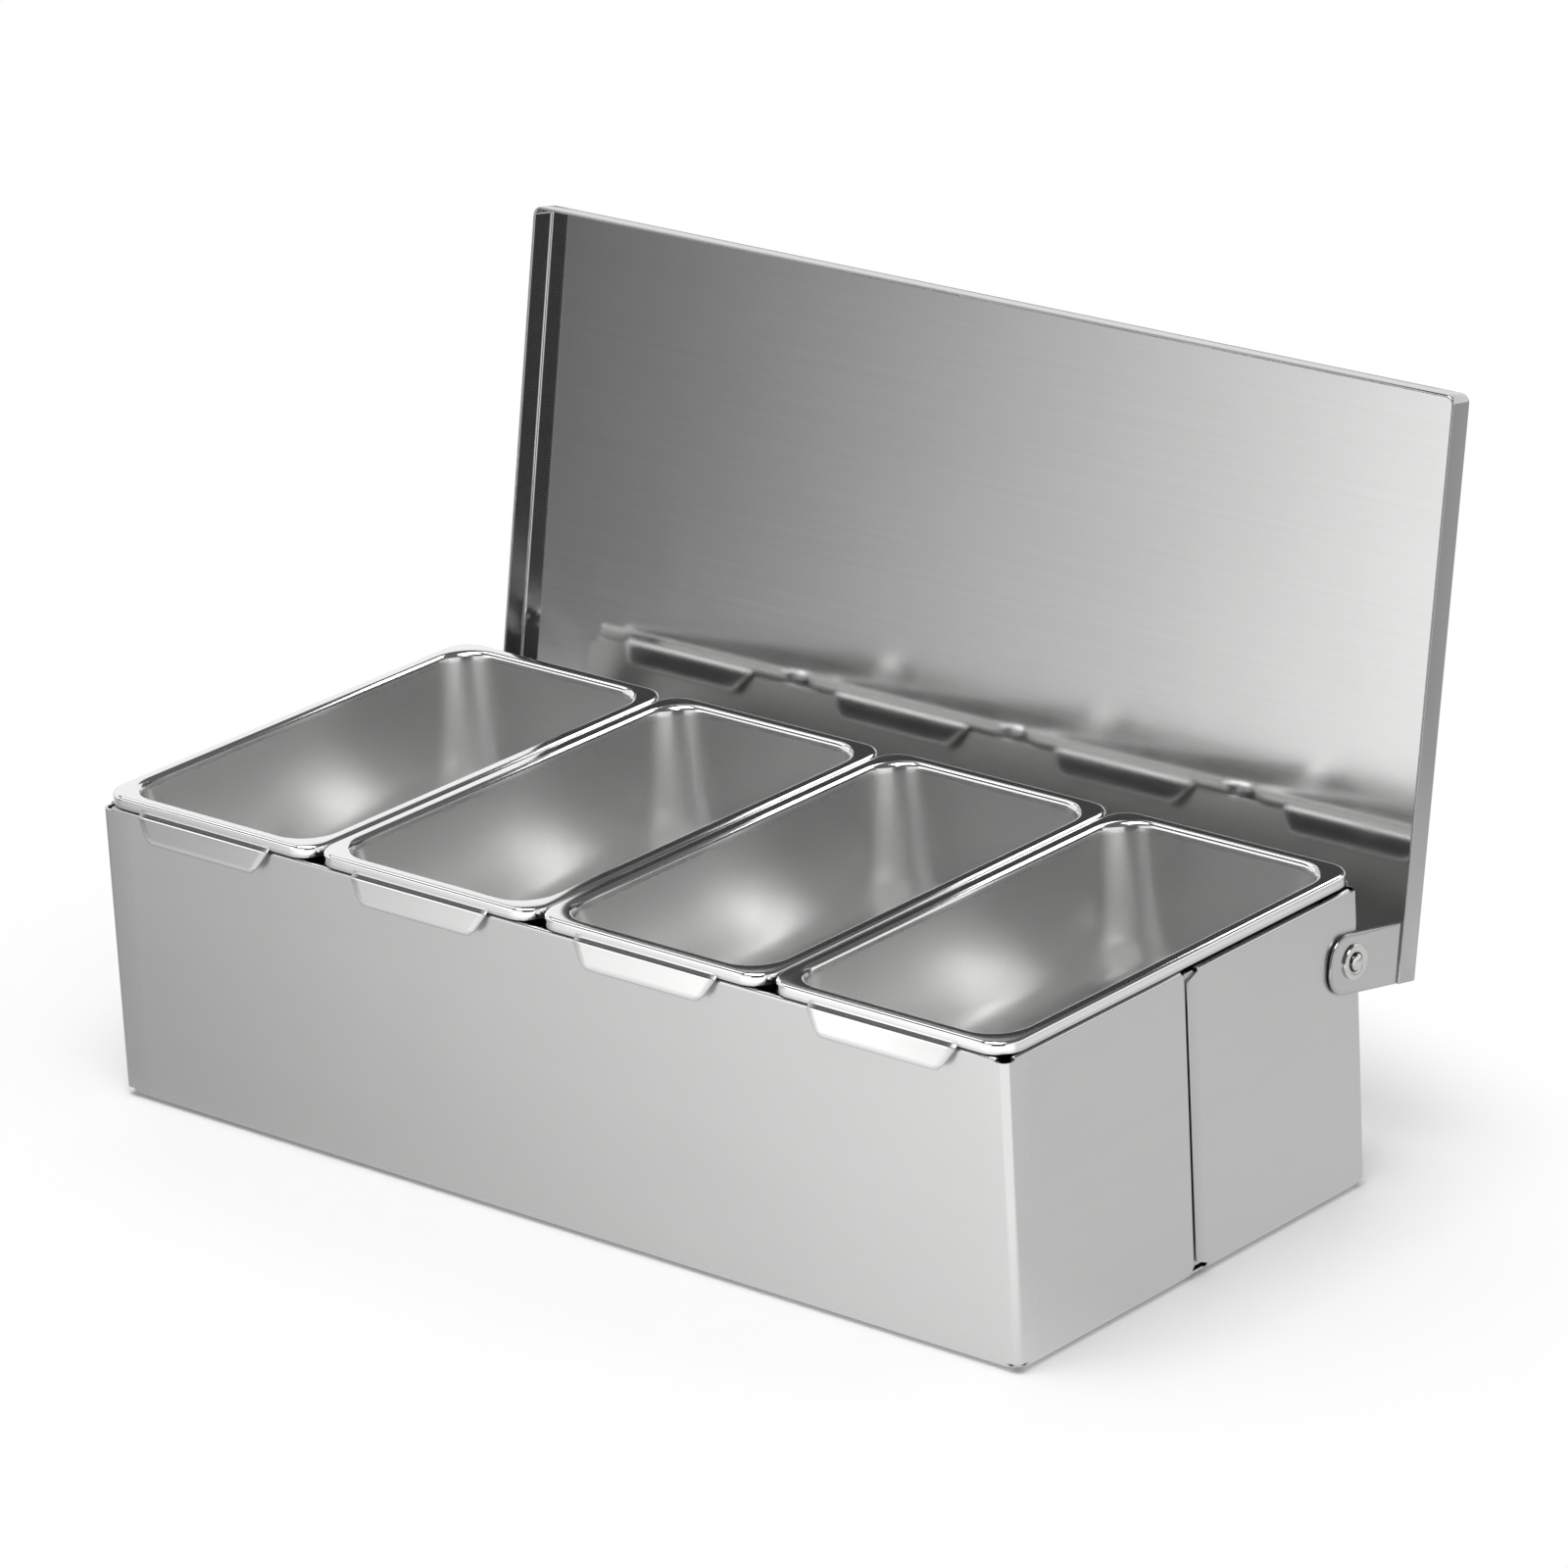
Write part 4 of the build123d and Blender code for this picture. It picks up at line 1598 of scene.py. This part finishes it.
@dataclass(frozen=True)
class Card:
    """A studio card that only reflections show. Lengths in metres.

    Attributes:
        name: name of the card.
        place: its middle.
        aim: what it faces.
        width: its level size.
        height: its other size.
        tones: how bright it is at its right and left sides, as it faces its aim.
        curve: power of the passage between the tones, from the left side on.
    """

    name: str
    place: Triple
    aim: Triple
    width: float
    height: float
    tones: Pair
    curve: float = 1.0

    def build(self) -> None:
        """Make the card as a flat sheet.

        Its tone is the left one plus the step to the right one times a power of the share of the way across.
        """
        matrix = facing(self.place, self.aim)
        corners = SQUARE * (self.width / 2, self.height / 2, 1.0) @ matrix[:3, :3].T + matrix[:3, 3]
        mesh = bpy.data.meshes.new(self.name)
        mesh.from_pydata(corners.tolist(), [], [(0, 3, 2, 1)])
        share = mesh.attributes.new("card_share", "FLOAT", "POINT")
        share.data.foreach_set("value", [0.0, 1.0, 1.0, 0.0])
        card = new_object(self.name, mesh)
        card.visible_camera = card.visible_diffuse = card.visible_shadow = card.visible_transmission = False
        made, sketch = new_material(self.name)
        right, left = self.tones
        across = sketch.add("ShaderNodeAttribute", attribute_name="card_share").outputs["Fac"]
        passed = sketch.math("POWER", across, self.curve)
        sketch.surface(sketch.glow(sketch.math("MULTIPLY_ADD", passed, right - left, left)))
        mesh.materials.append(made)


LAMPS = (Lamp("top_lamp", (0.1, -0.4, 1.35), (0.1, 0.0, 0.05), 1.1, 0.6, 9.0),)
CARDS = (
    Card("top_softbox", (0.1, -0.412, 1.39), (0.1, 0.0, 0.05), 1.1, 0.6, (4.7, 4.7)),
    Card("front_card", (-0.62, -0.70, 0.07), (-0.62, 0.0, 0.07), 0.5, 0.44, (1.5, 0.23), 1.5),
    Card("left_front_flag", (-1.17, -0.70, 0.07), (-1.17, 0.0, 0.07), 0.6, 0.44, (0.12, 0.12)),
    Card("left_front_light", (-0.90, -0.70, 0.50), (-0.90, 0.0, 0.50), 1.1, 0.42, (1.4, 1.4)),
    Card("left_front_high_flag", (-0.90, -0.70, 1.11), (-0.90, 0.0, 1.11), 1.4, 0.78, (0.08, 0.08)),
    Card("left_softbox", (-0.95, 0.05, 1.2), (0.0, 0.0, 0.08), 0.7, 0.6, (1.7, 1.7)),
    Card("camera_side_flag", (0.48, -0.62, 0.35), (0.0, 0.0, 0.35), 0.6, 0.9, (0.1, 0.1)),
    Card("ceiling_flag", (0.0, 0.0, 1.9), (0.0, 0.0, 0.0), 5.4, 5.4, (0.12, 0.12)),
)


@dataclass(frozen=True)
class Studio:
    """A pale floor, a white surround, soft lamps and reflection cards. Lengths in metres.

    Attributes:
        floor_half: half the floor's size.
        floor_colour: how much light the paper sends back.
        shadow_near: distance from the middle up to which the paper shows the tray's shadow.
        shadow_far: distance from which on it shows plain white.
        shadow_stretch: what a place is multiplied by before its distance is taken.
        back_tones: tone of the paper behind the tray in reflections, near and far.
        back_range: where in Y the tones behind the tray take over.
        far_range: where in Y the near one passes to the far one.
        floor_tone: tone of the rest of the paper in reflections, at the middle.
        floor_tone_slope: how the tone grows to a metre along each axis.
        floor_tone_range: least and greatest tone.
        mirrored_share: share of the tone in what reflections see.
        ambient: strength of the surround's light.
    """

    floor_half: float = 6.0
    floor_colour: float = 0.93
    shadow_near: float = 0.17
    shadow_far: float = 0.30
    shadow_stretch: Triple = (1.0, 1.7, 1.0)
    back_tones: Pair = (0.72, 0.42)
    back_range: Pair = (-0.08, -0.02)
    far_range: Pair = (0.2, 0.32)
    floor_tone: float = 0.50
    floor_tone_slope: Triple = (1.95, -2.7, 0.0)
    floor_tone_range: Pair = (0.35, 1.25)
    mirrored_share: float = 0.85
    ambient: float = 0.7

    def build(self) -> None:
        """Make the floor, the surround, the lamps and the cards."""
        self.floor()
        self.surround()
        for fitting in LAMPS + CARDS:
            fitting.build()
        bpy.context.scene.view_settings.view_transform = "Standard"

    def floor(self) -> None:
        """Lay the floor."""
        mesh = bpy.data.meshes.new("studio_floor")
        mesh.from_pydata((SQUARE * self.floor_half).tolist(), [], [(0, 1, 2, 3)])
        floor = new_object("studio_floor", mesh)
        mesh.materials.append(self.paper())

    def paper(self) -> Material:
        """Make the floor's lit paper, which shows as the white background but keeps the tray's shadow.

        Reflections see light and shade painted on the paper: its tone is the tone at the middle plus the
        slope times the place, held to its range, and behind the tray a tone that falls with the distance.

        Returns:
            The material.
        """
        made, sketch = new_material("studio_paper")
        spot = sketch.add("ShaderNodeTexCoord").outputs["Object"]
        oval = sketch.vector("MULTIPLY", {0: spot, 1: self.shadow_stretch})
        away = sketch.vector("LENGTH", {0: oval}, "Value")
        far = sketch.spread(away, (self.shadow_near, self.shadow_far), interpolation_type="SMOOTHSTEP")
        graded = sketch.vector("DOT_PRODUCT", {0: spot, 1: self.floor_tone_slope}, "Value")
        low, high = self.floor_tone_range
        tone = sketch.math("MAXIMUM", sketch.math("ADD", graded, self.floor_tone), low)
        tone = sketch.math("MINIMUM", tone, high)
        y = sketch.add("ShaderNodeSeparateXYZ", {0: spot}).outputs[1]
        behind, back = sketch.spread(y, self.back_range), sketch.spread(y, self.far_range, self.back_tones)
        tone = sketch.math("ADD", tone, sketch.math("MULTIPLY", sketch.math("SUBTRACT", back, tone), behind))
        path = sketch.add("ShaderNodeLightPath").outputs
        seen = sketch.math("MAXIMUM", path["Is Camera Ray"], path["Is Transmission Ray"])
        matt = sketch.add("ShaderNodeBsdfDiffuse", {"Color": (self.floor_colour,) * 3 + (1.0,)}).outputs[0]
        plain = sketch.mixed(sketch.math("MULTIPLY", seen, far), matt, sketch.glow(1.0))
        mirrored = sketch.math("MULTIPLY", path["Is Glossy Ray"], self.mirrored_share)
        sketch.surface(sketch.mixed(mirrored, plain, sketch.glow(tone)))
        return made

    def surround(self) -> None:
        """Light the surround, white where the camera or a reflection sees it."""
        world = bpy.data.worlds.new("studio_surround")
        world.use_nodes = True
        bpy.context.scene.world = world
        sketch = Sketch(world.node_tree)
        path = sketch.add("ShaderNodeLightPath").outputs
        seen = sketch.math("MAXIMUM", path["Is Camera Ray"], path["Is Glossy Ray"])
        seen = sketch.math("MAXIMUM", seen, path["Is Transmission Ray"])
        strength = sketch.math("MULTIPLY_ADD", seen, 1.0 - self.ambient, self.ambient)
        light = sketch.add("ShaderNodeBackground", {"Color": WHITE, "Strength": strength})
        sketch.add("ShaderNodeOutputWorld", {"Surface": light.outputs[0]})


def main() -> None:
    """Build the tray's pieces in order, then the studio and the camera."""
    logging.basicConfig(level=logging.INFO, format="%(name)s: %(message)s")
    finishes = Finishes.make()
    case = Case.from_frame()
    case.build(finishes)
    for name in sorted(n for n in frame["nodes"] if n.startswith("pan_")):
        Pan.from_frame(name, case).build(finishes)
    lid = Lid.from_frame()
    lid.build(finishes)
    for end in End:
        Rivet.from_frame(end, lid).build(finishes)
        carry_over("friction_washer_" + end.name.lower(), finishes.washer)
    Studio().build()
    Camera().build()


if __name__ == "__main__":
    main()
